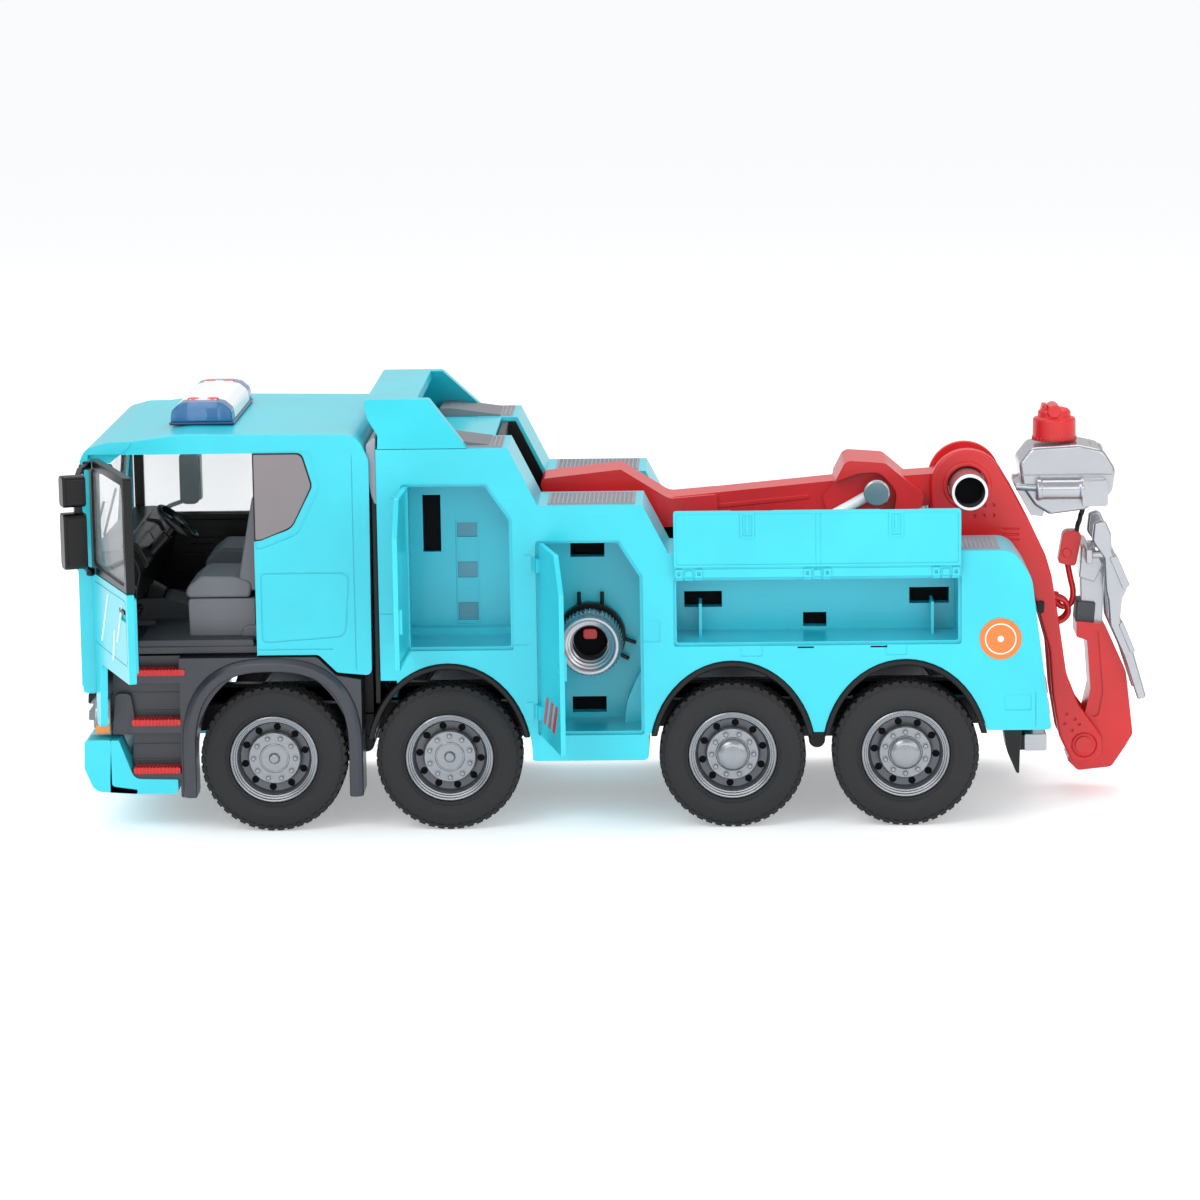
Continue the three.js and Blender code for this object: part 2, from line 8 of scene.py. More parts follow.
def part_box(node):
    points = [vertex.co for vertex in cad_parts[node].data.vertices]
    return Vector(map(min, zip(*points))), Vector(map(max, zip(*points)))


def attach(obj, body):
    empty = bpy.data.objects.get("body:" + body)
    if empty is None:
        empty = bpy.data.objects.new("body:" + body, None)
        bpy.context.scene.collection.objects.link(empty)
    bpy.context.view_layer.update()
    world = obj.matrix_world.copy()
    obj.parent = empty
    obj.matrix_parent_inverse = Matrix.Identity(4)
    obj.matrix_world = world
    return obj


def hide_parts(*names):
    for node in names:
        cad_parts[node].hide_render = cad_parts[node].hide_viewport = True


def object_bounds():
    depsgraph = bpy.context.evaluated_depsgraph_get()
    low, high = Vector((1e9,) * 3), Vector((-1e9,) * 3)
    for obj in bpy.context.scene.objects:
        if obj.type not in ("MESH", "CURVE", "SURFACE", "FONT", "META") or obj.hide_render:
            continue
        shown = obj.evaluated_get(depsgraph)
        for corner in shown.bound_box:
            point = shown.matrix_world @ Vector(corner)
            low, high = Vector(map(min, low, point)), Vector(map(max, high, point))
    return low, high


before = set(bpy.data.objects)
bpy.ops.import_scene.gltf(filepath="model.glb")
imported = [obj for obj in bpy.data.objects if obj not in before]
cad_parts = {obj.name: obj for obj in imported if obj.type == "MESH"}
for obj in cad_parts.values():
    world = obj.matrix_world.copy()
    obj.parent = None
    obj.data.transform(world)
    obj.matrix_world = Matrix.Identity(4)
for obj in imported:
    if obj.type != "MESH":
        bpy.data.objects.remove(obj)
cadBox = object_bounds()

# Shapes are drawn in millimetres in the truck's own frame: x to its rear, y to its right, z up
leftLow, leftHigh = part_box("body_side_left")
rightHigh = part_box("body_side_right")[1]
bodyRear = 242.0
truckOrigin = Vector((leftHigh.x - bodyRear / 1000, (leftLow.y + rightHigh.y) / 2, 0))
sides = ((-1, "left"), (1, "right"))

lengthwise, crosswise, upright = Vector((1, 0, 0)), Vector((0, 1, 0)), Vector((0, 0, 1))

# Materials


def linear(r, g, b):
    def one(c):
        c = c / 255
        return c / 12.92 if c <= 0.04045 else ((c + 0.055) / 1.055) ** 2.4
    return (one(r), one(g), one(b), 1)


finishes = {
    "turquoise": dict(colour=(42, 198, 215), rough=0.30, coat=0.22, grain=0.03, drift=0.04),
    "red": dict(colour=(204, 14, 20), rough=0.34, coat=0.22, grain=0.04, drift=0.06),
    "black": dict(colour=(6, 6, 8), rough=0.34, coat=0.05, grain=0.05, drift=0.15, sheen=0.3),
    "slate": dict(colour=(46, 49, 57), rough=0.36, coat=0.15, grain=0.08, drift=0.10),
    "grey": dict(colour=(108, 111, 117), rough=0.50, coat=0.0, grain=0.14, drift=0.06),
    "darkGrey": dict(colour=(62, 64, 69), rough=0.50, coat=0.0, grain=0.14, drift=0.08),
    "tyre": dict(colour=(27, 27, 30), rough=0.62, coat=0.0, grain=0.22, drift=0.16, sheen=0.4),
    "rim": dict(colour=(140, 143, 148), rough=0.24, coat=0.3, grain=0.06, drift=0.05, metal=0.7),
    "silver": dict(colour=(172, 173, 178), rough=0.22, coat=0.25, grain=0.05, drift=0.04, metal=0.8),
    "white": dict(colour=(238, 240, 242), rough=0.30, coat=0.2, grain=0.03, drift=0.02),
    "navy": dict(colour=(6, 44, 92), rough=0.30, coat=0.3, grain=0.03, drift=0.05),
    "lampRed": dict(colour=(235, 70, 66), rough=0.30, coat=0.3, grain=0.02, drift=0.03),
    "orange": dict(colour=(248, 120, 50), rough=0.45, coat=0.0, grain=0.03, drift=0.03),
    "rope": dict(colour=(22, 22, 24), rough=0.7, coat=0.0, grain=0.3, drift=0.2),
    "tread": dict(colour=(150, 150, 158), rough=0.5, coat=0.0, grain=0.08, drift=0.05),
    "shade": dict(colour=(80, 146, 162), rough=0.4, coat=0.1, grain=0.05, drift=0.2),
    # a darker grey used as painted shade in the rim's recess; the rim's own grey is lighter
    "paintedShadeGrey": dict(colour=(88, 91, 96), rough=0.35, coat=0.1, grain=0.06, drift=0.05, metal=0.5),
    # near-black used as painted shade inside the rim holes, on the slot floors, on the knob's bore floor and
    # inside the knee tube; also two thin strips below the tool locker
    "paintedShadeBlack": dict(colour=(5, 6, 8), rough=0.6, coat=0.0, grain=0.05, drift=0.1, sheen=0.1),
}
panes = {
    "clear": dict(colour=(226, 234, 238), rough=0.08, alpha=0.22),
    "smoke": dict(colour=(128, 120, 123), rough=0.12, alpha=0.90),
    "blue": dict(colour=(0, 112, 172), rough=0.05, alpha=0.72),
    "amber": dict(colour=(240, 140, 50), rough=0.10, alpha=0.85),
}
grainSize = dict(fine=1400, coarse=22, waves=5)


# A moulded surface: slow colour drift, uneven gloss and fine grain
def mouldedFinish(name, look):
    material = bpy.data.materials.new(name)
    material.use_nodes = True
    nodes, links = material.node_tree.nodes, material.node_tree.links
    shader = nodes["Principled BSDF"]
    colour = linear(*look["colour"])
    place = nodes.new("ShaderNodeTexCoord")

    drift = nodes.new("ShaderNodeTexNoise")
    drift.inputs["Scale"].default_value = grainSize["coarse"]
    drift.inputs["Detail"].default_value = 3
    links.new(place.outputs["Object"], drift.inputs["Vector"])
    ramp = nodes.new("ShaderNodeValToRGB")
    low, high = 1 - look["drift"], 1 + look["drift"]
    ramp.color_ramp.elements[0].position = 0.35
    ramp.color_ramp.elements[0].color = (*[c * low for c in colour[:3]], 1)
    ramp.color_ramp.elements[1].position = 0.65
    ramp.color_ramp.elements[1].color = (*[min(1, c * high) for c in colour[:3]], 1)
    links.new(drift.outputs["Fac"], ramp.inputs["Fac"])

    links.new(ramp.outputs["Color"], shader.inputs["Base Color"])

    gloss = nodes.new("ShaderNodeMapRange")
    gloss.inputs["To Min"].default_value = look["rough"] - 0.05
    gloss.inputs["To Max"].default_value = look["rough"] + 0.07
    links.new(drift.outputs["Fac"], gloss.inputs["Value"])
    links.new(gloss.outputs["Result"], shader.inputs["Roughness"])

    grain = nodes.new("ShaderNodeTexNoise")
    grain.inputs["Scale"].default_value = grainSize["fine"]
    grain.inputs["Detail"].default_value = 2
    links.new(place.outputs["Object"], grain.inputs["Vector"])
    bump = nodes.new("ShaderNodeBump")
    bump.inputs["Strength"].default_value = look["grain"]
    bump.inputs["Distance"].default_value = 0.0004
    links.new(grain.outputs["Fac"], bump.inputs["Height"])
    links.new(bump.outputs["Normal"], shader.inputs["Normal"])

    shader.inputs["Metallic"].default_value = look.get("metal", 0)
    shader.inputs["Specular IOR Level"].default_value = look.get("sheen", 0.5)
    shader.inputs["Coat Weight"].default_value = look["coat"]
    shader.inputs["Coat Roughness"].default_value = 0.12
    return material


# A see-through pane with faint flow marks
def paneFinish(name, look):
    material = bpy.data.materials.new(name)
    material.use_nodes = True
    nodes, links = material.node_tree.nodes, material.node_tree.links
    shader = nodes["Principled BSDF"]
    colour = linear(*look["colour"])
    place = nodes.new("ShaderNodeTexCoord")
    flow = nodes.new("ShaderNodeTexNoise")
    flow.inputs["Scale"].default_value = grainSize["waves"] * 8
    links.new(place.outputs["Object"], flow.inputs["Vector"])
    ramp = nodes.new("ShaderNodeValToRGB")
    ramp.color_ramp.elements[0].color = (*[c * 0.94 for c in colour[:3]], 1)
    ramp.color_ramp.elements[1].color = (*[min(1, c * 1.05) for c in colour[:3]], 1)
    links.new(flow.outputs["Fac"], ramp.inputs["Fac"])
    links.new(ramp.outputs["Color"], shader.inputs["Base Color"])
    bump = nodes.new("ShaderNodeBump")
    bump.inputs["Strength"].default_value = 0.04
    bump.inputs["Distance"].default_value = 0.001
    links.new(flow.outputs["Fac"], bump.inputs["Height"])
    links.new(bump.outputs["Normal"], shader.inputs["Normal"])
    shader.inputs["Roughness"].default_value = look["rough"]
    shader.inputs["Alpha"].default_value = look["alpha"]
    shader.inputs["Coat Weight"].default_value = 0.5
    material.surface_render_method = "BLENDED"
    return material


paint = {name: mouldedFinish(name, look) for name, look in finishes.items()}
paint.update({name: paneFinish(name, look) for name, look in panes.items()})
print("materials made:", len(paint))

# Shape helpers


# An outline of (x, z) points with its corners rounded; a third number is that corner's own radius
def rounded(outline, radius, steps=5):
    smooth = []
    for i, corner in enumerate(outline):
        point = Vector(corner[:2])
        back = Vector(outline[i - 1][:2]) - point
        ahead = Vector(outline[(i + 1) % len(outline)][:2]) - point
        half = back.angle(ahead) / 2
        wanted = corner[2] if len(corner) > 2 else radius
        reach = min(wanted / math.tan(half), back.length * 0.48, ahead.length * 0.48)
        if reach < 0.05:
            smooth.append(tuple(point))
            continue
        bend = reach * math.tan(half)
        centre = point + (back.normalized() + ahead.normalized()).normalized() * (bend / math.sin(half))
        start = point + back.normalized() * reach - centre
        end = point + ahead.normalized() * reach - centre
        first = math.atan2(start.y, start.x)
        turn = (math.atan2(end.y, end.x) - first + math.pi) % (2 * math.pi) - math.pi
        for step in range(steps + 1):
            angle = first + turn * step / steps
            smooth.append((centre.x + bend * math.cos(angle), centre.y + bend * math.sin(angle)))
    return smooth


def circle(x, z, radius, sides=32, start=0.0):
    turns = [start + 2 * math.pi * i / sides for i in range(sides)]
    return [(x + radius * math.cos(a), z + radius * math.sin(a)) for a in turns]


# Joins loops of points, given in order, into a closed body
def skin(bm, loops, closed=False):
    rings = [[bm.verts.new(p) for p in loop] for loop in loops]
    count = len(rings[0])
    pairs = list(zip(rings, rings[1:])) + ([(rings[-1], rings[0])] if closed else [])
    for ring, following in pairs:
        for i in range(count):
            k = (i + 1) % count
            bm.faces.new((ring[i], ring[k], following[k], following[i]))
    if not closed:
        bm.faces.new(rings[0][::-1])
        bm.faces.new(rings[-1])
    return rings


def slab(bm, outline, y0, y1):
    return skin(bm, [[(x, y, z) for x, z in outline] for y in (y0, y1)])


def block(bm, x0, x1, y0, y1, z0, z1):
    slab(bm, [(x0, z0), (x1, z0), (x1, z1), (x0, z1)], y0, y1)


# A flat frame: the outer outline less the inner one, which has as many points
def frameSlab(bm, outer, inner, y0, y1):
    loops = [[(x, y, z) for x, z in line] for line, y in ((outer, y0), (outer, y1), (inner, y1), (inner, y0))]
    skin(bm, loops, closed=True)


def grown(outline, margin):
    xs, zs = [p[0] for p in outline], [p[1] for p in outline]
    cx, cz = (min(xs) + max(xs)) / 2, (min(zs) + max(zs)) / 2
    wide = 1 + 2 * margin / (max(xs) - min(xs))
    high = 1 + 2 * margin / (max(zs) - min(zs))
    return [(cx + (p[0] - cx) * wide, cz + (p[1] - cz) * high, *p[2:]) for p in outline]


# A round body about an axis: profile points are (radius, distance along the axis)
def turned(bm, profile, centre, axis=crosswise, sides=48, closed=False):
    axis = Vector(axis).normalized()
    across = axis.orthogonal().normalized()
    up = axis.cross(across)
    centre = Vector(centre)
    loops = []
    for radius, along in profile:
        radius = max(radius, 0.01)
        loops.append([
            centre + axis * along + (across * math.cos(a) + up * math.sin(a)) * radius
            for a in (2 * math.pi * i / sides for i in range(sides))
        ])
    skin(bm, loops, closed)


def rod(bm, radius, start, end, sides=24):
    start, end = Vector(start), Vector(end)
    turned(bm, [(radius, 0), (radius, (end - start).length)], start, end - start, sides)


# A bar of the given section, as (across, up) points, swept along a path
def sweep(bm, path, section, up=upright, closed=False):
    points = [Vector(p) for p in path]
    loops = []
    for i, point in enumerate(points):
        if closed:
            ahead = points[(i + 1) % len(points)] - points[i - 1]
        else:
            ahead = points[min(i + 1, len(points) - 1)] - points[max(i - 1, 0)]
        across = ahead.cross(up).normalized()
        top = across.cross(ahead).normalized()
        loops.append([point + across * a + top * b for a, b in section])
    skin(bm, loops, closed)


def curved(points, steps=6):
    knots = [Vector(p) for p in points]
    knots = [knots[0] * 2 - knots[1]] + knots + [knots[-1] * 2 - knots[-2]]
    path = []
    for a, b, c, d in zip(knots, knots[1:], knots[2:], knots[3:]):
        for step in range(steps):
            t = step / steps
            path.append(0.5 * (2 * b + (c - a) * t + (2 * a - 5 * b + 4 * c - d) * t * t
                               + (3 * b - a - 3 * c + d) * t ** 3))
    return path + [knots[-2]]


# The first body less the others, by exact booleans
def carved(bm, *cutters):
    made = []
    for body in (bm, *cutters):
        bmesh.ops.recalc_face_normals(body, faces=body.faces)
        mesh = bpy.data.meshes.new("carving")
        body.to_mesh(mesh)
        body.free()
        holder = bpy.data.objects.new("carving", mesh)
        bpy.context.scene.collection.objects.link(holder)
        made.append(holder)
    for cutter in made[1:]:
        step = made[0].modifiers.new("cut", "BOOLEAN")
        step.operation = "DIFFERENCE"
        step.solver = "EXACT"
        step.use_self = True
        step.object = cutter
    bpy.context.view_layer.update()
    evaluated = made[0].evaluated_get(bpy.context.evaluated_depsgraph_get())
    result = bmesh.new()
    result.from_mesh(evaluated.to_mesh())
    evaluated.to_mesh_clear()
    for holder in made:
        mesh = holder.data
        bpy.data.objects.remove(holder)
        bpy.data.meshes.remove(mesh)
    bmesh.ops.remove_doubles(result, verts=result.verts, dist=0.01)
    bmesh.ops.dissolve_limit(result, angle_limit=0.01, verts=result.verts, edges=result.edges)
    return result


# Rounds the edges that a test picks, in millimetres
def soften(bm, test, width, segments=4):
    bmesh.ops.recalc_face_normals(bm, faces=bm.faces)
    chosen = [e for e in bm.edges if test(*(v.co for v in e.verts))]
    bmesh.ops.bevel(bm, geom=chosen, offset=width, segments=segments, profile=0.5, affect="EDGES",
                    clamp_overlap=True)


def swung(bm, pivot, axis, degrees):
    bmesh.ops.rotate(bm, cent=pivot, matrix=Matrix.Rotation(math.radians(degrees), 3, axis), verts=bm.verts)


def mirrored(bm, side):
    if side > 0:
        bmesh.ops.scale(bm, vec=(1, -1, 1), verts=bm.verts)


# A finished piece: meshed in the frame's metres, edges eased, painted, and riding its body
def piece(name, bm, finish, body="truck", replaced=(), ease=0.5, segments=2, limit=32):
    bmesh.ops.recalc_face_normals(bm, faces=bm.faces)
    bmesh.ops.scale(bm, vec=(0.001,) * 3, verts=bm.verts)
    bmesh.ops.translate(bm, vec=truckOrigin, verts=bm.verts)
    mesh = bpy.data.meshes.new(name)
    bm.to_mesh(mesh)
    bm.free()
    mesh.materials.append(paint[finish])
    mesh.polygons.foreach_set("use_smooth", [True] * len(mesh.polygons))
    made = bpy.data.objects.new(name, mesh)
    bpy.context.scene.collection.objects.link(made)
    if ease:
        bevel = made.modifiers.new("easedEdges", "BEVEL")
        bevel.width = ease / 1000
        bevel.segments = segments
        bevel.limit_method = "ANGLE"
        bevel.angle_limit = math.radians(limit)
        bevel.use_clamp_overlap = True
        bevel.miter_outer = "MITER_ARC"
        flatter = made.modifiers.new("flatFaces", "WEIGHTED_NORMAL")
        flatter.weight = 80
    else:
        mesh.set_sharp_from_angle(angle=math.radians(limit))
    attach(made, body)
    if replaced:
        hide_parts(*replaced)
    return made


# Wheels

wheel = dict(places=(-186, -89, 67, 162), radius=40.35, plane=82, half=11, bead=24.7, blocks=46, nuts=10)


def tyreMesh():
    bm = bmesh.new()
    half, top = wheel["half"], wheel["radius"]
    side = [(wheel["bead"], 9.3), (26.2, 10.4), (26.9, 10.0), (31, 10.9), (31.6, 11.0), (34.6, 10.7),
        (37.4, 9.9),
            (39.4, 8.6)]
    profile = [(r, -y) for r, y in side] + [(r, y) for r, y in side[::-1]]
    inner = [(wheel["bead"] - 0.3, 7), (wheel["bead"] - 0.3, -7)]
    turned(bm, profile + inner, (0, 0, 0), crosswise, 96, closed=True)
    pitch = 2 * math.pi / wheel["blocks"]
    rows = [(-10.1, -5.4, 0, 0.64), (-4.7, -0.4, 0.5, 0.72), (0.4, 4.7, 0, 0.72), (5.4, 10.1, 0.5, 0.64)]
    for y0, y1, shift, share in rows:
        outer0 = 37.9 if y0 < -9 else top
        outer1 = 37.9 if y1 > 9 else top
        for i in range(wheel["blocks"]):
            middle = (i + shift) * pitch
            loops = []
            for angle in (middle - pitch * share / 2, middle + pitch * share / 2):
                c, s = math.cos(angle), math.sin(angle)
                section = [(37.6, y0 + 0.7), (37.6, y1 - 0.7), (outer1, y1), (top, min(y1, half - 2.4)),
                           (top, max(y0, 2.4 - half)), (outer0, y0)]
                loops.append([(r * c, y, r * s) for r, y in section])
            skin(bm, loops)
    bmesh.ops.remove_doubles(bm, verts=bm.verts, dist=0.001)
    return bm


def rimMesh(driven):
    bm = bmesh.new()
    profile = [(0, 7), (21.5, 7), (22.4, 9.4), (24.2, 9.4), (24.4, 0), (24.2, -9.2), (23.6, -9.6),
        (22.9, -9.4),
               (22.5, -8.4), (21.7, -8.2), (21.4, -7.2), (20.7, -7.0), (20.2, -5.4), (19.2, -1.4),
               (14.8, -0.8),
               (14.4, -4.6), (14.0, -5.6)]
    if driven:
        profile += [(9.4, -5.6), (9.1, -5.0), (8.6, -5.0), (8.4, -8.2), (7.4, -9.4), (5, -10.2), (0, -10.5)]
    else:
        profile += [(8.4, -5.8), (7.9, -6.3), (7.4, -6.3), (7.2, -5.9), (3.2, -6.1), (2.9, -7.4), (2.2, -8.2),
                    (0, -8.4)]
    turned(bm, profile, (0, 0, 0), crosswise, 80)
    holes = bmesh.new()
    for i in range(wheel["nuts"]):
        angle = 2 * math.pi * (i + 0.35) / wheel["nuts"]
        x, z = 17.0 * math.cos(angle), 17.0 * math.sin(angle)
        turned(holes, [(2.05, -12), (2.05, 3.5)], (x, 0, z), crosswise, 20)
    bm = carved(bm, holes)
    for i in range(wheel["nuts"]):
        angle = 2 * math.pi * i / wheel["nuts"]
        x, z = 11.6 * math.cos(angle), 11.6 * math.sin(angle)
        turned(bm, [(1.45, -5.2), (1.45, -7.2), (1.0, -7.7)], (x, 0, z), crosswise, 6)
        turned(bm, [(1.9, -5.0), (1.9, -5.9)], (x, 0, z), crosswise, 18)
    return bm


# Painted shade: near-black discs set inside the rim's through holes so that the holes read dark
def rimHoleShade():
    bm = bmesh.new()
    for i in range(wheel["nuts"]):
        angle = 2 * math.pi * (i + 0.35) / wheel["nuts"]
        x, z = 17.0 * math.cos(angle), 17.0 * math.sin(angle)
        turned(bm, [(2.0, -0.6), (2.0, 3.3)], (x, 0, z), crosswise, 20)
    return bm


# Painted shade: a thin darker-grey lining laid over the rim's recess between the nut plate and the outer ring
def rimRecessShade():
    bm = bmesh.new()
    profile = [(14.5, -4.4), (15.0, -1.0), (19.0, -1.6), (20.0, -5.0), (20.2, -5.2), (19.4, -1.2),
        (14.8, -0.6), (14.3, -4.4)]
    turned(bm, profile, (0, 0, 0), crosswise, 80, closed=True)
    holes = bmesh.new()
    for i in range(wheel["nuts"]):
        angle = 2 * math.pi * (i + 0.35) / wheel["nuts"]
        turned(holes, [(2.05, -12), (2.05, 3.5)], (17 * math.cos(angle), 0, 17 * math.sin(angle)),
            crosswise, 20)
    return carved(bm, holes)


def buildWheels():
    copies = {}
    for index, x in enumerate(wheel["places"]):
        body = f"wheels_{index + 1}"
        driven = index > 1
        axle = bmesh.new()
        profile = [(3, -75), (3, -44), (4.4, -43), (4.4, -36), (3, -35), (3, 35), (4.4, 36), (4.4, 43),
            (3, 44), (3, 75)]
        turned(axle, profile, (x, 0, wheel["radius"]), crosswise, 24)
        piece(f"axle{index + 1}", axle, "rim", body, ease=0.3)
        for side, label in sides:
            centre = truckOrigin + Vector((x, side * wheel["plane"], wheel["radius"])) / 1000
            # the last two kinds are painted shade: near-black discs in the rim holes and a darker lining over
            # the rim recess
            for kind, maker, finish in (("tyre", tyreMesh, "tyre"), ("rim", lambda: rimMesh(driven), "rim"),
                                        ("rimHoleShade", rimHoleShade, "paintedShadeBlack"), ("rimRecessShade", rimRecessShade, "paintedShadeGrey")):
                key = (kind, driven and kind == "rim")
                if key not in copies:
                    model = piece(f"{kind}Model", maker(), finish, ease=0.35 if kind == "rim" else 0)
                    model.data.transform(Matrix.Translation(-truckOrigin))
                    copies[key] = model
                source = copies[key]
                made = bpy.data.objects.new(f"{kind}{index + 1}{label.capitalize()}", source.data)
                bpy.context.scene.collection.objects.link(made)
                if source.modifiers:
                    old = source.modifiers["easedEdges"]
                    bevel = made.modifiers.new(old.name, old.type)
                    bevel.width = old.width
                    bevel.segments = old.segments
                    bevel.limit_method = old.limit_method
                    bevel.angle_limit = old.angle_limit
                    made.modifiers.new("flatFaces", "WEIGHTED_NORMAL").weight = 80
                turn = Matrix.Rotation(math.pi if side > 0 else 0, 4, "Z")
                roll = Matrix.Rotation(math.pi / 2 * index, 4, "Y")
                made.matrix_world = Matrix.Translation(centre) @ turn @ roll
                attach(made, body)
                if kind == "tyre":
                    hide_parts(f"tyre_{index + 1}_{label}")
                elif kind == "rim" and side < 0:
                    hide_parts(f"wheelset_{index + 1}")
    for model in copies.values():
        bpy.data.objects.remove(model)
    print("wheels and tyres built")


buildWheels()

# Cab

cab = dict(half=88.6, wall=3.4, roofRound=11, sideTop=210.5)
cabOutline = [
    (-291, 82, 1), (-194, 82, 1), (-194, 98.4, 1), (-160, 98.4, 4), (-150, 88.4, 4), (-131, 86.6, 3),
    (-130, 206, 1),
    (-136, 220, 16), (-232, 221.4, 60), (-270, 216.5, 30), (-285, 208, 8), (-286.4, 196, 3), (-291, 146, 10),
]
cabInside = [
    (-287.5, 70, 1), (-133.6, 70, 1), (-133.6, 206, 4), (-142, 216, 10), (-232, 217.6, 50), (-268, 213, 24),
    (-281.6, 205, 6), (-287.5, 146, 10),
]
quarter = [(-199, 161.5, 0.1), (-192, 161.8, 6), (-173, 168.5, 9), (-161, 192, 6), (-166.4, 210.4, 4),
    (-199, 210.4, 0.1)]


def cabShell():
    bm = bmesh.new()
    slab(bm, rounded(cabOutline, 4), -cab["half"], cab["half"])
    flank = cab["half"] - 0.01

    def onRim(a, b):
        return abs(a.y) > flank and abs(b.y) > flank and a.y * b.y > 0 and min(a.z, b.z) > 100 and (
            a.z + b.z > 230 or a.x < -280 or a.x > -135)
    soften(bm, onRim, cab["roofRound"], 6)
    inside = bmesh.new()
    slab(inside, rounded(cabInside, 4), -cab["half"] + cab["wall"], cab["half"] - cab["wall"])
    inner = cab["half"] - cab["wall"] - 0.01
    soften(inside, lambda a, b: abs(a.y) > inner and abs(b.y) > inner and a.y * b.y > 0 and a.z + b.z > 400,
        6, 4)
    openings = bmesh.new()
    recess = bmesh.new()
    grooves = bmesh.new()
    for side, label in sides:
        y0, y1 = sorted((side * 84.2, side * 96))
        block(openings, -282.8, -193.8, y0, y1, 40, cab["sideTop"])
        slab(openings, rounded(quarter, 3), y0, y1)
        y0, y1 = sorted((side * (cab["half"] - 0.9), side * 96))
        lip = [(-193, 157.5, 0.1), (-189, 157.8, 6), (-169.5, 165.5, 9), (-156.8, 191.5, 6), (-162, 211.4, 4),
               (-193, 211.4, 0.1)]
        slab(recess, rounded(lip, 3), y0, y1)
        y0, y1 = sorted((side * (cab["half"] - 0.55), side * 96))
        for margin, panel in ((0, [(-190, 106, 3), (-145, 109, 6), (-142.5, 143.5, 4), (-190, 143.5, 2)]),):
            frameSlab(grooves, rounded(grown(panel, 0.9), 3), rounded(panel, 3), y0, y1)
        block(grooves, -193, -152, y0, y1, 101.2, 102.0)
        slab(grooves, [(-139.6, 90), (-139, 90), (-139, 209), (-139.6, 209)], y0, y1)
    slab(openings, rounded([(-300, 147.6), (-270, 147.6), (-270, 203.4), (-300, 203.4)], 0.1), -79, 79)
    block(openings, -296, -280, -64, 64, 86, 140)
    bm = carved(bm, inside, recess, grooves, openings)
    piece("cabShell", bm, "turquoise", replaced=("cab_shell",), ease=0.45)

    for side, label in sides:
        pane = bmesh.new()
        y0, y1 = sorted((side * 86.2, side * 87.9))
        slab(pane, rounded([(-193.6, 162.2, 0.1), (-190, 162.6, 6), (-173, 169.6, 9), (-161.8, 192.2, 6),
                            (-167, 209.9, 4), (-193.6, 209.9, 0.1)], 3), y0, y1)
        piece(f"quarterPane{label.capitalize()}", pane, "smoke", replaced=(f"quarter_window_{label}",),
            ease=0.2)
        gasket = bmesh.new()
        y0, y1 = sorted((side * 86.6, side * 88.0))
        rim = [(-193.7, 161.9, 0.1), (-190, 162.2, 6), (-172.6, 169.2, 9), (-161.2, 192.2, 6),
            (-166.6, 210.3, 4),
               (-193.7, 210.3, 0.1)]
        frameSlab(gasket, rounded(rim, 3), rounded(grown(rim, -0.7), 3), y0, y1)
        piece(f"quarterGasket{label.capitalize()}", gasket, "black", ease=0)

    # visor strip under the roof's front edge, windscreen and its surround
    screen = bmesh.new()
    slab(screen, [(-290.4, 148.4), (-288.2, 148.4), (-282.6, 202.8), (-284.8, 202.8)], -78.6, 78.6)
    piece("windscreenPane", screen, "clear", replaced=("windscreen",), ease=0.3)
    surround = bmesh.new()
    slab(surround, [(-291.8, 143.5), (-288.6, 143.5), (-288.6, 148.2), (-291.8, 148.2)], -82, 82)
    slab(surround, rounded([(-289.8, 200), (-284.5, 200), (-284.5, 205), (-289.2, 205)], 1), -84, 84)
    for side in (-1, 1):
        y0, y1 = sorted((side * 79, side * 84.4))
        slab(surround, [(-292, 146), (-288.4, 146), (-283.4, 203), (-287, 203)], y0, y1)
        slab(surround, rounded([(-289.4, 199.6, 1), (-273, 199.6, 3), (-270, 204.4, 3), (-289, 204.4, 1)], 1),
             *sorted((side * 79.4, side * 85)))
    rod(surround, 0.8, (-291.5, -30, 149), (-289.3, 8, 170), 10)
    rod(surround, 0.8, (-291.5, 20, 149), (-289.3, 58, 170), 10)
    piece("windscreenSurround", surround, "black", ease=0.5)

    cap = bmesh.new()
    slab(cap, rounded([(-288.8, 205.2, 1.5), (-272, 205.4, 2), (-262, 213.4, 5), (-258, 217.8, 2),
        (-272, 217.6, 14),
                       (-285, 214.2, 9)], 1), -89.4, 89.4)
    soften(cap, lambda a,
        b: abs(a.y) > 89.3 and abs(b.y) > 89.3 and a.y * b.y > 0 and (a.x + b.x < -570 or a.z + b.z > 420),
           7, 5)
    clear = bmesh.new()
    for side in (-1, 1):
        block(clear, -283.4, -250, *sorted((side * 85.3, side * 95)), 200, 210.8)
    cap = carved(cap, clear)
    piece("roofVisor", cap, "turquoise", ease=0.6, segments=3)


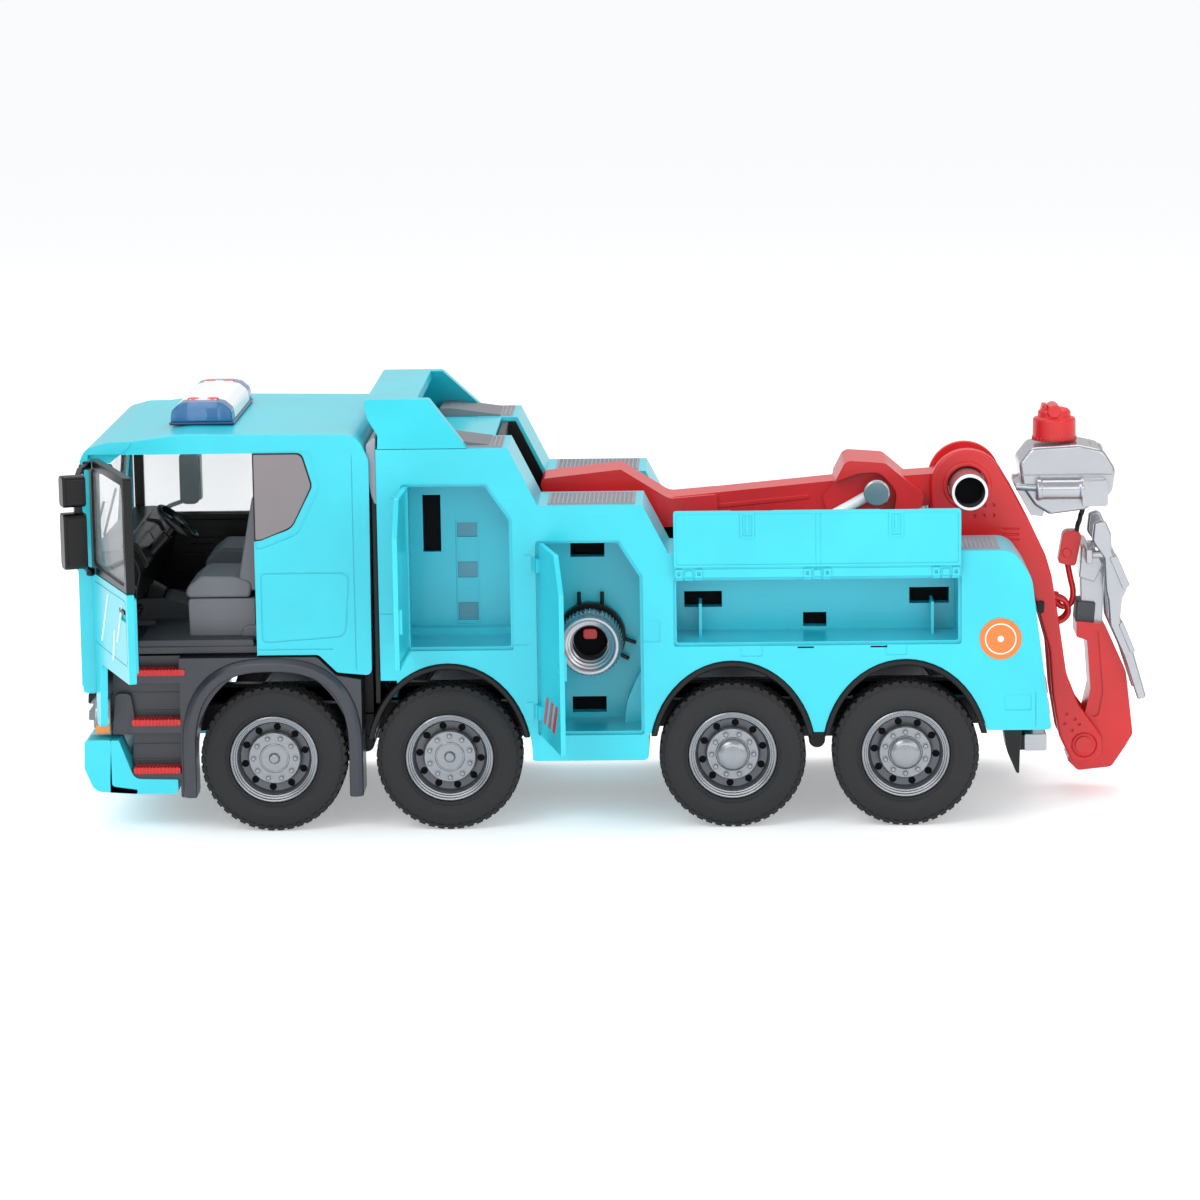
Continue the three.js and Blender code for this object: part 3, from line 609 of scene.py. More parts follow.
def cabFront():
    bm = bmesh.new()
    block(bm, -290, -287.9, -63.6, 63.6, 86.4, 139.6)
    for i in range(6):
        z = 89 + i * 8.6
        slab(bm, rounded([(-294, z, 1), (-290, z, 0.5), (-290, z + 5.2, 0.5), (-293.2, z + 5.2, 1)], 1),
            -61, 61)
    for side in (-1, 1):
        block(bm, -293.6, -289.6, *sorted((side * 60.8, side * 63.6)), 86.4, 139.6)
    piece("grillePanel", bm, "black", replaced=("grille",), ease=0.5)

    bumper = bmesh.new()
    side = [(-291, 36, 4), (-285.6, 23, 7), (-262, 21.6, 3), (-262, 24, 1), (-276, 26, 2), (-276, 52, 1),
        (-290.6, 52, 2)]
    slab(bumper, rounded(side, 3), -91, 91)
    soften(bumper, lambda a, b: abs(a.y) > 90.9 and abs(b.y) > 90.9 and a.y * b.y > 0 and a.x + b.x < -560,
        6, 5)
    intake = bmesh.new()
    slab(intake, rounded([(-300, 28), (-284, 28), (-284, 44), (-300, 44)], 0.5), -38, 38)
    for s in (-1, 1):
        turned(intake, [(6, -300), (6, -286.5)], (0, s * 62, 38), lengthwise, 28)
    bumper = carved(bumper, intake)
    for s in (-1, 1):
        edge = [(-277, 29.5), (-275.8, 51.8), (-271.5, 51.8, 1), (-263.5, 30, 5), (-239.4, 29.4),
            (-239.4, 21.6, 2),
                (-262, 21.4), (-277, 22.4)]
        slab(bumper, rounded(edge, 0.4), *sorted((s * 72, s * 91)))
    piece("bumperMoulding", bumper, "turquoise", replaced=("bumper",), ease=0.7, segments=3)
    insert = bmesh.new()
    block(insert, -286.4, -284.2, -37.8, 37.8, 28.2, 43.8)
    for i in range(3):
        block(insert, -288.5, -286, -37, 37, 30.5 + i * 4.6, 32.5 + i * 4.6)
    piece("bumperIntake", insert, "black", ease=0.3)
    fog = bmesh.new()
    for s in (-1, 1):
        turned(fog, [(5.8, -287.4), (5.4, -288.6), (3.5, -289.3), (0, -289.6)], (0, s * 62, 38), lengthwise,
            28)
    piece("fogLamps", fog, "clear", ease=0)

    for s, label in sides:
        lamp = bmesh.new()
        slab(lamp, rounded([(-289.2, 54, 2), (-276.4, 54, 1), (-276.4, 74, 1), (-287.4, 74, 4)], 1),
             *sorted((s * 62, s * 85.4)))
        soften(lamp, lambda a, b: a.x + b.x < -570 and abs(a.y - b.y) > 5, 1.5, 3)
        piece(f"headlightLens{label.capitalize()}", lamp, "clear", replaced=(f"headlight_{label}",), ease=0.6)
        inner = bmesh.new()
        for y in (68.5, 78.5):
            turned(inner, [(4.4, -284), (4.2, -285.4), (2, -283.4), (0, -282.6)], (0, s * y, 65.5),
                lengthwise, 24)
        block(inner, -281, -277, *sorted((s * 62.6, s * 84.8)), 55, 73)
        piece(f"headlightBowl{label.capitalize()}", inner, "silver", ease=0.3)
        corner = bmesh.new()
        slab(corner, rounded([(-285, 54.6), (-276.8, 54.6), (-276.8, 59.8), (-284.6, 59.8)], 1),
             *sorted((s * 79, s * 85.9)))
        piece(f"cornerLamp{label.capitalize()}", corner, "amber", ease=0.4)
    panel = bmesh.new()
    block(panel, -289.4, -284.6, -61.4, 61.4, 53, 86)
    for i in range(3):
        slab(panel, rounded([(-292.4, 57 + i * 9.4), (-289, 57 + i * 9.4), (-289, 63 + i * 9.4),
            (-292, 63 + i * 9.4)], 1),
             -60, 60)
    piece("lowerGrille", panel, "black", ease=0.5)
    corners = bmesh.new()
    for s in (-1, 1):
        slab(corners, rounded([(-290.6, 78, 2), (-283.4, 78, 1), (-283.4, 146, 1), (-290.4, 146, 2)], 1),
             *sorted((s * 70, s * 88.2)))
    soften(corners, lambda a, b: abs(a.y) > 88 and abs(b.y) > 88 and a.x + b.x < -576, 5, 4)
    piece("cabCornerPanels", corners, "turquoise", ease=0.6)


lightBar = dict(x=(-243, -207), half=52, base=221.4, top=234.6)


def roofLights():
    (x0, x1), half, low, top = lightBar["x"], lightBar["half"], lightBar["base"], lightBar["top"]
    bm = bmesh.new()
    slab(bm, rounded([(x0, low), (x1, low), (x1, low + 1.8), (x0, low + 1.8)], 0.8), -half, half)
    piece("lightBarBase", bm, "navy", ease=1.2, segments=3)
    section = [(x0 + 0.6, low + 1.6), (x1 - 0.6, low + 1.6), (x1 - 1.4, top - 5, 4), (x1 - 6, top - 1, 4),
               (x1 - 11, top, 4), (x0 + 11, top, 4), (x0 + 6, top - 1, 4), (x0 + 1.4, top - 5, 4)]
    for s in (-1, 1):
        lens = bmesh.new()
        slab(lens, rounded(section, 1), *sorted((s * 37.5, s * (half - 0.4))))
        soften(lens, lambda a, b: abs(a.y) > half - 0.6 and abs(b.y) > half - 0.6, 3.5, 4)
        name = "lightBarLensLeft" if s < 0 else "lightBarLensRight"
        piece(name, lens, "blue", replaced=("light_bar",) if s < 0 else (), ease=0.5)
    middle = bmesh.new()
    slab(middle, rounded(section, 1), -37.3, 37.3)
    for s in (-1, 1):
        slab(middle, rounded([(x0 + 10, low + 2.4), (x1 - 15, low + 2.4), (x1 - 15, top - 3),
            (x0 + 10, top - 3)], 1),
             *sorted((s * 37, s * (half - 1.4))))
        slab(middle, rounded([(x1 - 9, low + 2.4), (x1 - 8, low + 2.4), (x1 - 8, top - 4),
            (x1 - 9, top - 4)], 0.3),
             *sorted((s * 37, s * (half - 1.4))))
    piece("lightBarCentre", middle, "white", ease=0.6)
    cover = bmesh.new()
    for s in (-1, 1):
        loops = []
        for y, z, wide in ((36, top - 2.5, 6.4), (36, top + 0.4, 9), (43, top + 0.2, 9.6),
            (half - 2.5, top - 3.2, 9.6),
                           (half - 2.5, top - 4.2, 8)):
            loops.append([(x0 + wide, s * y, z - 1), (x1 - wide, s * y, z - 1), (x1 - wide - 1, s * y, z),
                (x0 + wide + 1, s * y, z)])
        skin(cover, loops)
    piece("lightBarCaps", cover, "white", ease=0.5)
    spots = bmesh.new()
    for s in (-1, 1):
        for x in (x0 + 12.6, x1 - 12.6):
            turned(spots, [(3.4, 0), (3.2, 0.7), (2, 1.0), (0, 1.1)], (x, s * 40, top - 0.2), upright, 28)
    piece("lightBarSpots", spots, "lampRed", ease=0)


def seatMesh(bm, y):
    base = [(-233, 103.4, 2), (-196, 103.4, 2), (-196, 127, 1), (-233.6, 127, 2)]
    slab(bm, rounded(base, 1), y - 22, y + 22)
    slab(bm, rounded([(-205, 103.4, 3), (-186, 103.4, 2), (-186, 112, 3), (-203, 112, 4)], 2), y - 24, y + 24)


def cushionMesh(bm, y):
    seat = [(-234.5, 127.4, 3), (-199, 127.4, 2), (-197, 136, 4), (-207, 139.4, 8), (-226, 139.8, 8),
        (-234.5, 133, 6)]
    slab(bm, rounded(seat, 3), y - 22.5, y + 22.5)
    back = [(-206, 133, 5), (-193, 130, 4), (-184.5, 178, 5), (-189, 188, 6), (-196.5, 184, 6),
        (-201, 160, 20)]
    slab(bm, rounded(back, 3), y - 21.5, y + 21.5)


def cabInterior():
    bases, cushions = bmesh.new(), bmesh.new()
    for side in (-1, 1):
        seatMesh(bases, side * 47)
        cushionMesh(cushions, side * 47)
    piece("seatBases", bases, "grey", replaced=("seats",), ease=1.2, segments=3)
    piece("seatCushions", cushions, "grey", ease=3.2, segments=4)

    floor = bmesh.new()
    block(floor, -286.8, -134.4, -84.2, 84.2, 99, 102.8)
    slab(floor, rounded([(-262, 102.6, 1), (-196, 102.6, 1), (-196, 106.4, 2), (-260, 106.4, 3)], 1), -83.4,
        83.4)
    slab(floor, rounded([(-286, 102, 1), (-232, 102, 1), (-232, 112, 6), (-252, 118, 8), (-286, 118, 1)],
        2), -16, 16)
    block(floor, -286.8, -283.6, -84.2, 84.2, 103, 139)
    slab(floor, [(-137.4, 103), (-134.2, 103), (-134.2, 204), (-137.4, 204)], -84.2, 84.2)
    for side in (-1, 1):
        block(floor, -192.6, -138, *sorted((side * 84.4, side * 85.1)), 103, 157)
    for side in (-1, 1):
        block(floor, -272, -256, *sorted((side * 34, side * 36.4)), 106, 109)
    piece("cabFloorMoulding", floor, "darkGrey", replaced=("cab_floor",), ease=0.9, segments=3)

    dash = bmesh.new()
    outline = [(-284.4, 139.6, 1), (-271, 119, 4), (-262, 124, 6), (-257, 144, 8), (-261, 154, 6),
        (-270, 156.4, 6),
               (-282.4, 156, 2)]
    slab(dash, rounded(outline, 3), -82.4, 82.4)
    for y0, y1, lift in ((-68, -22, 2.5), (-16, 16, 1.0), (30, 74, 0.4)):
        top = [(-260.4, 143, 4), (-255.6 + lift, 145, 3), (-260.2, 155.5 + lift, 4), (-270, 157 + lift, 5),
            (-270, 150, 1)]
        slab(dash, rounded(top, 2), y0, y1)
    rod(dash, 3.4, (-264, -45, 141), (-246.6, -45, 159.6), 16)
    slab(dash, rounded([(-268, 104), (-260, 104), (-252, 122), (-262, 128)], 2), -14, -4)
    for y in (-64, -52, -38):
        slab(dash, rounded([(-271, 108), (-267.6, 107.4), (-262.6, 117), (-266, 118)], 1), y, y + 7)
    piece("dashMoulding", dash, "black", replaced=("dashboard",), ease=1.0, segments=3)

    wheelRim = bmesh.new()
    section = [(1.5 * math.cos(a), 1.9 * math.sin(a)) for a in (math.pi * i / 6 for i in range(12))]
    loops = []
    for i in range(40):
        a = 2 * math.pi * i / 40
        loops.append([((13 + u) * math.cos(a), (13 + u) * math.sin(a), v) for u, v in section])
    skin(wheelRim, loops, closed=True)
    for turn in (90, 210, 330):
        a = math.radians(turn)
        rod(wheelRim, 1.3, (3 * math.cos(a), 3 * math.sin(a), -1.4),
            (12.6 * math.cos(a), 12.6 * math.sin(a), 0), 12)
    turned(wheelRim, [(1.9, -9), (1.9, -3), (4.2, -2.4), (4.4, 0.6), (3.2, 1.6), (0, 1.9)], (0, 0, 0),
        upright, 24)
    bmesh.ops.rotate(wheelRim, cent=(0, 0, 0), matrix=Matrix.Rotation(math.radians(40), 3, "Y"),
        verts=wheelRim.verts)
    bmesh.ops.translate(wheelRim, vec=(-241, -45, 166), verts=wheelRim.verts)
    piece("steeringWheel", wheelRim, "black", "steering", ("steering_wheel",), ease=0)


cabShell()
cabFront()
roofLights()
cabInterior()
print("cab built")

# Lower wings and steps

wingPanel = dict(inner=66, outer=91, archX=-186, archHalf=42.5, archRise=52)
archLip = dict(middle=-186.7, half=49.9, spring=44, rise=53, foot=19, square=0.8)


def archCut(bm, x, half, rise, y0, y1, base=-5):
    outline = [(x - half, base)]
    outline += [(x + half * math.cos(a), 40.35 + rise * math.sin(a))
        for a in (math.pi * (1 - i / 28) for i in range(29))]
    outline += [(x + half, base)]
    slab(bm, outline, y0, y1)


def stepWing(side, label):
    bm = bmesh.new()
    outline = [(-275, 30, 2), (-238, 30), (-238, 19, 1), (-137, 19, 1), (-137, 84.4), (-150.6, 86.8, 2),
        (-161, 97.2, 3),
               (-275, 97.2, 2)]
    slab(bm, rounded(outline, 0.3), -wingPanel["outer"] + 1.6, -wingPanel["inner"])
    cut = bmesh.new()
    archCut(cut, wingPanel["archX"], wingPanel["archHalf"] + 1.6, wingPanel["archRise"] + 0.6, -95, -60)
    well = bmesh.new()
    block(well, -280, -237.2, -95, -80.4, 52.4, 98)
    deep = bmesh.new()
    block(deep, -265.6, -237.4, -96, -80.2, 29, 60)
    front = bmesh.new()
    block(front, -280, -265, -95, -60, 29, 53)
    bm = carved(bm, cut, well, deep, front)
    pod = [(-275.4, 54, 1), (-266, 54, 2), (-262.6, 60, 4), (-265, 77, 3), (-273.4, 77, 3)]
    slab(bm, rounded(pod, 1), -85.3, -70)
    for low, x0, x1 in ((31, -264.6, -237.4), (58, -264.6, -236.4), (86, -265, -233.6)):
        slab(bm, rounded([(x0, low - 2.5), (x1, low - 2.5), (x1, low + 1.9), (x0, low + 1.9)], 0.8), -89.6,
            -79.8)
    for z in (38.5, 47, 66, 76):
        slab(bm, rounded([(-264.5, z), (-238, z), (-238, z + 0.9), (-264.5, z + 0.9)], 0.3), -80.9, -79.8)
    mirrored(bm, side)
    piece(f"stepWing{label.capitalize()}", bm, "slate", replaced=(f"step_panel_{label}",), ease=0.8,
        segments=3)

    lip = bmesh.new()
    middle, spring = archLip["middle"], archLip["spring"]
    outer = [(middle - archLip["half"], archLip["foot"])]
    for i in range(45):
        c, up = math.cos(math.pi * (1 - i / 44)), math.sin(math.pi * i / 44)
        outer.append((middle + archLip["half"] * math.copysign(abs(c) ** archLip["square"], c),
                      spring + archLip["rise"] * up ** archLip["square"]))
    outer.append((middle + archLip["half"], archLip["foot"]))
    centre = Vector((-186.6, 30))
    inner = []
    for i, (x, z) in enumerate(outer):
        ahead = Vector(outer[min(i + 1, len(outer) - 1)]) - Vector(outer[max(i - 1, 0)])
        normal = Vector((ahead.y, -ahead.x)).normalized()
        if normal.dot(centre - Vector((x, z))) < 0:
            normal.negate()
        inner.append(Vector((x, z)) + normal * 7.6)
    loops = []
    for (x, z), n in zip(outer, inner):
        mid = Vector((x, z)).lerp(n, 0.42)
        loops.append([(x, -87.6, z), (x, -90.4, z), (mid.x, -92.6, mid.y), (n.x, -92.0, n.y), (n.x, -76, n.y),
                      (mid.x, -76, mid.y)])
    skin(lip, loops)
    mirrored(lip, side)
    piece(f"wingLip{label.capitalize()}", lip, "slate", ease=0.9, segments=3)

    treads = bmesh.new()
    for low, x0, x1 in ((31, -264, -238), (58, -264, -237), (86, -265, -234)):
        slab(treads, rounded([(x0, low + 1.8, 0.6), (x1, low + 1.8, 0.6), (x1, low + 5, 0.6),
            (x0, low + 5, 0.6)], 0.6), -90.2, -80)
        for i in range(int((x1 - x0 - 1) / 1.9)):
            x = x0 + 1.0 + i * 1.9
            slab(treads, [(x, low + 1.6), (x + 0.9, low + 1.6), (x + 0.9, low + 5.5), (x, low + 5.5)],
                -90.7, -81)
    mirrored(treads, side)
    piece(f"stepTreads{label.capitalize()}", treads, "red", replaced=(f"step_treads_{label}",), ease=0.25)


for wingSide, wingLabel in sides:
    stepWing(wingSide, wingLabel)

# Cab doors

door = dict(hinge=(-283.4, 90.6), swing=70)
doorOutline = [(-282.2, 62, 1), (-273.4, 60.6, 3), (-268.5, 96, 6), (-262, 98, 3), (-194.6, 99, 2),
    (-194.6, 210, 2),
               (-277, 210, 4), (-282.2, 204, 3)]


def cabDoor(side, label):
    def place(bm):
        if side < 0:
            swung(bm, (door["hinge"][0], -door["hinge"][1], 0), "Z", -door["swing"])
        mirrored(bm, side)
        return bm
    body = f"cab_door_{label}"
    name = label.capitalize()
    lower = bmesh.new()
    shape = [(x, z, *r) for x, z, *r in doorOutline[:5]] + [(-194.6, 147.6, 1), (-282.2, 146.6, 1)]
    slab(lower, rounded(shape, 1), -90.4, -86.4)
    slab(lower, rounded([(-280.6, 104, 2), (-196.4, 104, 3), (-196.4, 146, 3), (-280.6, 145, 2)], 2), -87,
        -84.8)
    dent = bmesh.new()
    slab(dent, rounded([(-214, 132, 2), (-199, 132, 2), (-199, 138.5, 2), (-214, 138.5, 2)], 2), -95, -89.2)
    frameSlab(dent, rounded([(-279, 108, 3), (-198, 108, 3), (-198, 144, 3), (-279, 143, 3)], 3),
              rounded([(-278.2, 108.8, 3), (-198.8, 108.8, 3), (-198.8, 143.2, 3), (-278.2, 142.2, 3)], 3),
              -95, -90.0)
    lower = carved(lower, dent)
    piece(f"doorSkin{name}", place(lower), "turquoise", body, (f"door_{label}",), ease=0.9, segments=3)
    handle = bmesh.new()
    slab(handle, rounded([(-212.6, 136, 0.6), (-200.4, 136, 0.6), (-200.4, 138, 0.6), (-212.6, 138, 0.6)],
        0.6), -91, -89.4)
    piece(f"doorHandle{name}", place(handle), "black", body, ease=0.4)
    upper = bmesh.new()
    ring = [(-282.2, 147, 1), (-194.6, 148, 1), (-194.6, 210, 2), (-277, 210, 4), (-282.2, 204, 3)]
    hole = [(-276.6, 151.5, 4), (-199.6, 151.5, 4), (-199.6, 205, 4), (-273.8, 205, 5), (-276.6, 201.6, 4)]
    frameSlab(upper, rounded(ring, 2), rounded(hole, 3), -90.4, -85.6)
    slab(upper, rounded([(-279, 147, 1), (-198, 147, 1), (-198, 151, 2), (-279, 151, 2)], 1), -87, -83.6)
    piece(f"doorFrame{name}", place(upper), "black", body, ease=0.7, segments=3)
    glass = bmesh.new()
    slab(glass, rounded([(-277, 151, 3), (-199, 151, 3), (-199, 205.4, 3), (-274.2, 205.4, 4),
        (-277, 202, 3)], 3), -89, -87.6)
    piece(f"doorPane{name}", place(glass), "clear", body, (f"door_glass_{label}",), ease=0.2)
    trim = bmesh.new()
    slab(trim, rounded([(-280, 104.6, 2), (-197, 104.6, 3), (-197, 150, 2), (-280, 150, 2)], 2), -85.2, -84.2)
    slab(trim, rounded([(-262, 112, 4), (-206, 112, 4), (-206, 128, 4), (-262, 128, 4)], 3), -85.0, -82.8)
    slab(trim, rounded([(-250, 133, 2), (-222, 133, 2), (-222, 137, 2), (-250, 137, 2)], 2), -85.2, -82)
    piece(f"doorTrim{name}", place(trim), "black", body, ease=0.5)
    stripe = bmesh.new()
    for i, (x0, x1, z0, z1) in enumerate(((-262, -240, 112, 141), (-234, -226, 106, 124),
        (-222, -206, 118, 140))):
        slab(stripe, [(x0, z0), (x0 + 2.2, z0), (x1, z1), (x1 - 1.6, z1)], -90.9, -90.3)
    piece(f"doorStripes{name}", place(stripe), "white", body, ease=0)

    arm = bmesh.new()
    housingUpper = [(-257.4, 188, 3), (-245.6, 188, 3), (-245.6, 205.4, 3), (-257.4, 204.6, 3)]
    housingLower = [(-257.4, 154, 4), (-245.6, 154, 4), (-245.6, 184.6, 3), (-257.4, 184.6, 3)]
    for outline in (housingUpper, housingLower):
        slab(arm, rounded(outline, 3), -112.4, -99.6)
    slab(arm, rounded([(-254, 183, 1), (-249, 183, 1), (-249, 189.5, 1), (-254, 189.5, 1)], 1), -105.4, -101)
    for low, high, start, end in ((146, 150.5, (-273, -93.2, 148.5), (-252, -103, 157)),
                                  (204.5, 209, (-273, -93.2, 207), (-252, -103, 203))):
        rod(arm, 2.4, (-273, -93.2, low), (-273, -93.2, high), 20)
        sweep(arm, [start, Vector(start).lerp(Vector(end), 0.5) + Vector((0, -1.2, 1)), end],
              [(-1.7, -1.2), (1.7, -1.2), (1.7, 1.2), (-1.7, 1.2)])
    piece(f"mirrorArm{name}", place(arm), "black", f"mirror_arm_{label}", (f"mirror_{label}",), ease=1.3,
        segments=3)
    faces = bmesh.new()
    for z0, z1 in ((190, 203), (156.4, 182.4)):
        block(faces, -245.5, -244.9, -110.6, -101.6, z0, z1)
    piece(f"mirrorGlass{name}", place(faces), "black", f"mirror_arm_{label}", ease=0.2)


for doorSide, doorLabel in sides:
    cabDoor(doorSide, doorLabel)
print("doors and steps built")

# Service body


# A CAD node's own shape, in the truck's millimetres, to be eased and painted as a new piece
def cadShape(node):
    bm = bmesh.new()
    bm.from_mesh(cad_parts[node].data)
    bmesh.ops.remove_doubles(bm, verts=bm.verts, dist=1e-6)
    bmesh.ops.translate(bm, vec=-truckOrigin, verts=bm.verts)
    bmesh.ops.scale(bm, vec=(1000,) * 3, verts=bm.verts)
    bmesh.ops.dissolve_limit(bm, angle_limit=0.02, verts=bm.verts, edges=bm.edges)
    return bm


service = dict(outer=91, inner=38, chamfer=3.4, archHalf=46, archRise=53, lean=0.938)
bodyOutline = [
    (-126, 53, 2), (-44, 53, 1), (-44, 38, 3), (21, 38, 3), (21, 53, 1), (242, 53, 2), (231, 138, 20),
    (221, 152.8, 12),
    (33, 153, 0.2), (19, 180, 0.2), (-38, 180, 0.2), (-54, 212, 0.2), (-126, 212, 0.2),
]
lockers = {
    "front": dict(outline=[(-111, 102), (-54, 102), (-54, 172), (-67, 191), (-111, 191)], depth=45,
    hinge=-112.8),
    "winch": dict(outline=[(-38, 54), (17, 54), (17, 140), (5, 159), (-38, 159)], depth=50, hinge=-39.8),
    "tool": dict(outline=[(37, 103), (191, 103), (191, 137.6), (37, 137.6)], depth=50, hinge=139.4),
}
slots = [(-104, -94, 148, 180, "front"), (-22, -3, 145, 153, "winch"), (-22, -3, 57, 66, "winch"),
         (41, 62, 116, 125, "tool"), (107, 120, 104.5, 112.5, "tool"), (166, 188, 117, 126, "tool")]
windows = [(-85, -74, 156, 164), (-85, -74, 133, 142), (-85, -74, 109, 119)]
notches = [(-53, -44, 103, 115), (18.6, 28, 104, 116), (72, 84, 95.5, 101.4), (151, 163, 95.5, 101.4),
           (216, 231, 64, 73)]


def bodySide(side, label):
    name = label.capitalize()
    bm = bmesh.new()
    slab(bm, rounded(bodyOutline, 0.2), -service["outer"], -service["inner"])

    def upperRim(a, b):
        return max(a.y, b.y) < -90.9 and min(a.z,
            b.z) > 52.9 and not (abs(a.z - 53) < 0.1 and abs(b.z - 53) < 0.1)
    soften(bm, upperRim, service["chamfer"], 1)
    arches, boxes, rebates, fine = (bmesh.new() for _ in range(4))
    for x in wheel["places"][1:]:
        archCut(arches, x, service["archHalf"], service["archRise"], -99, -30)
    block(arches, -140, -117, -99, -30, 40, 84)
    for locker in lockers.values():
        slab(boxes, rounded(locker["outline"], 1.2), -99, -locker["depth"])
        slab(rebates, rounded(grown(locker["outline"], 1.7), 1.6), -99, -88)
    for x0, x1, z0, z1, locker in slots:
        block(fine, x0, x1, -lockers[locker]["depth"] - 2, -40.4, z0, z1)
    block(fine, -86, -73, -47, -43.4, 107, 166)
    cuts = bmesh.new()
    for x0, x1, z0, z1 in windows:
        block(cuts, x0, x1, -48, -40.4, z0, z1)
    for x0, x1, z0, z1 in notches:
        slab(cuts, rounded([(x0, z0), (x1, z0), (x1, z1), (x0, z1)], 1), -99, -90.4)
    for z in (60, 121):
        block(cuts, -125.2, -114.6, -99, -90.5, z, z + 0.5)
    block(cuts, 233, 233.5, -99, -90.5, 55, 74)
    bm = carved(bm, arches, rebates, boxes, fine, cuts)
    for x in (50, 178):
        slab(bm, rounded([(x - 0.8, 102), (x + 0.8, 102), (x + 0.8, 121), (x - 0.8, 121)], 0.4), -68, -49)
    slab(bm, [(17.5, 53), (7, 53), (9, 66), (14, 78), (17.5, 84)], -64, -49.5)
    slab(bm, [(-54.6, 101.5), (-111, 101.5), (-111, 106), (-54.6, 106)], -52, -44)
    for x, z in ((-43.6, 148), (-43.6, 66), (-116.6, 114), (-116.6, 180)):
        slab(bm, rounded([(x - 2.4, z - 5), (x + 1.6, z - 5), (x + 1.6, z + 5), (x - 2.4, z + 5)], 0.5),
            -91.7, -90)
    for x in (44, 114, 184):
        slab(bm, rounded([(x - 8, 141), (x + 8, 141), (x + 8, 146), (x - 8, 146)], 0.6), -91.5, -90)
    mirrored(bm, side)
    piece(f"bodySide{name}", bm, "turquoise", replaced=(f"body_side_{label}",), ease=0.45)

    # Painted shade: near-black sheets on the floors of the blind slots in the locker walls; the same piece
    # adds two thin near-black strips on the wall just below the tool locker
    paintedShadeBlack = bmesh.new()
    for x0, x1, z0, z1, locker in slots:
        block(paintedShadeBlack, x0 + 0.05, x1 - 0.05, -41.6, -40.5, z0 + 0.05, z1 - 0.05)
    for x in (103, 143):
        block(paintedShadeBlack, x, x + 9, -91.06, -90.3, 99.9, 100.8)
    mirrored(paintedShadeBlack, side)
    piece(f"lockerSlotShade{name}", paintedShadeBlack, "paintedShadeBlack", ease=0.1)
    glazed = bmesh.new()
    for x0, x1, z0, z1 in windows:
        block(glazed, x0 + 0.05, x1 - 0.05, -42.6, -41.5, z0 + 0.05, z1 - 0.05)
    mirrored(glazed, side)
    piece(f"lockerWindows{name}", glazed, "shade", ease=0.1)

    liners = bmesh.new()
    for x in wheel["places"][1:]:
        loops = []
        for i in range(37):
            a = math.pi * i / 36
            c, s = math.cos(a), math.sin(a)
            loops.append([(x + (service["archHalf"] - t) * c, y,
                wheel["radius"] + (service["archRise"] - t) * s)
                          for t, y in ((0.25, -91.2), (0.9, -92.2), (2.6, -92.2), (3.6, -91.4), (3.9, -46),
                          (0.4, -46))])
        first = [(x + service["archHalf"] - t, y, 51.5) for t, y in
                 ((0.25, -91.2), (0.9, -92.2), (2.6, -92.2), (3.6, -91.4), (3.9, -46), (0.4, -46))]
        lifted = [loop for loop in loops if loop[0][2] > 51.5]
        last = [(2 * x - p[0], p[1], p[2]) for p in first]
        low = 51.5 - wheel["radius"]
        lean = service["archHalf"] * (1 - math.sqrt(1 - (low / service["archRise"]) ** 2))
        first = [(p[0] - lean, p[1], p[2]) for p in first]
        last = [(p[0] + lean, p[1], p[2]) for p in last]
        skin(liners, [first] + lifted + [last])
    mirrored(liners, side)
    piece(f"archLiners{name}", liners, "black", ease=0.3)

    plates = bmesh.new()
    decks = ((-33, 15, 180, 43, 86), (44, 214, 153, 43, 86), (-77, -57, 212, 43, 86))
    for x0, x1, z, y0, y1 in decks:
        slab(plates, rounded([(x0, z - 0.2), (x1, z - 0.2), (x1, z + 0.35), (x0, z + 0.35)], 0.1), -y1, -y0)
        count = int((x1 - x0) / 2.4)
        for i in range(count):
            x = x0 + 0.8 + i * 2.4
            block(plates, x, x + 0.7, -y1 + 0.6, -y0 - 0.6, z + 0.3, z + 0.75)
        for i in range(int((y1 - y0) / 2.4)):
            y = -y1 + 0.8 + i * 2.4
            block(plates, x0 + 0.6, x1 - 0.6, y, y + 0.7, z + 0.3, z + 0.72)
    mirrored(plates, side)
    piece(f"treadPlates{name}", plates, "tread", ease=0)

    flap = bmesh.new()
    slab(flap, rounded([(215.6, 54, 1), (226, 54, 1), (225, 44, 6), (224.4, 28, 0.8), (222.8, 28.6, 0.8),
        (218, 40, 4)], 1),
         -89, -64)
    mirrored(flap, side)
    piece(f"mudFlap{name}", flap, "black", ease=0.5)

    lamps = bmesh.new()
    for i, z in enumerate((60, 72)):
        slab(lamps, rounded([(236, z, 1), (241.9 - i * 1.2, z - 0.4, 1), (240.7 - i * 1.3, z + 9, 1),
            (236, z + 9, 1)], 1), -84, -62)
    mirrored(lamps, side)
    piece(f"tailLamps{name}", lamps, "lampRed", ease=0.8)


for bodySideSign, bodySideLabel in sides:
    bodySide(bodySideSign, bodySideLabel)

sticker = bmesh.new()
turned(sticker, [(11.5, -91.35), (11.3, -91.5), (0, -91.5)], (214, 0, 104), crosswise, 64)
piece("roundSticker", sticker, "orange", ease=0)
mark = bmesh.new()
frameSlab(mark, circle(214, 104, 8.6, 48), circle(214, 104, 8.0, 48), -91.6, -91.45)
turned(mark, [(1.7, -91.6), (0, -91.62)], (214, 0, 104), crosswise, 24)
piece("stickerRing", mark, "white", ease=0)


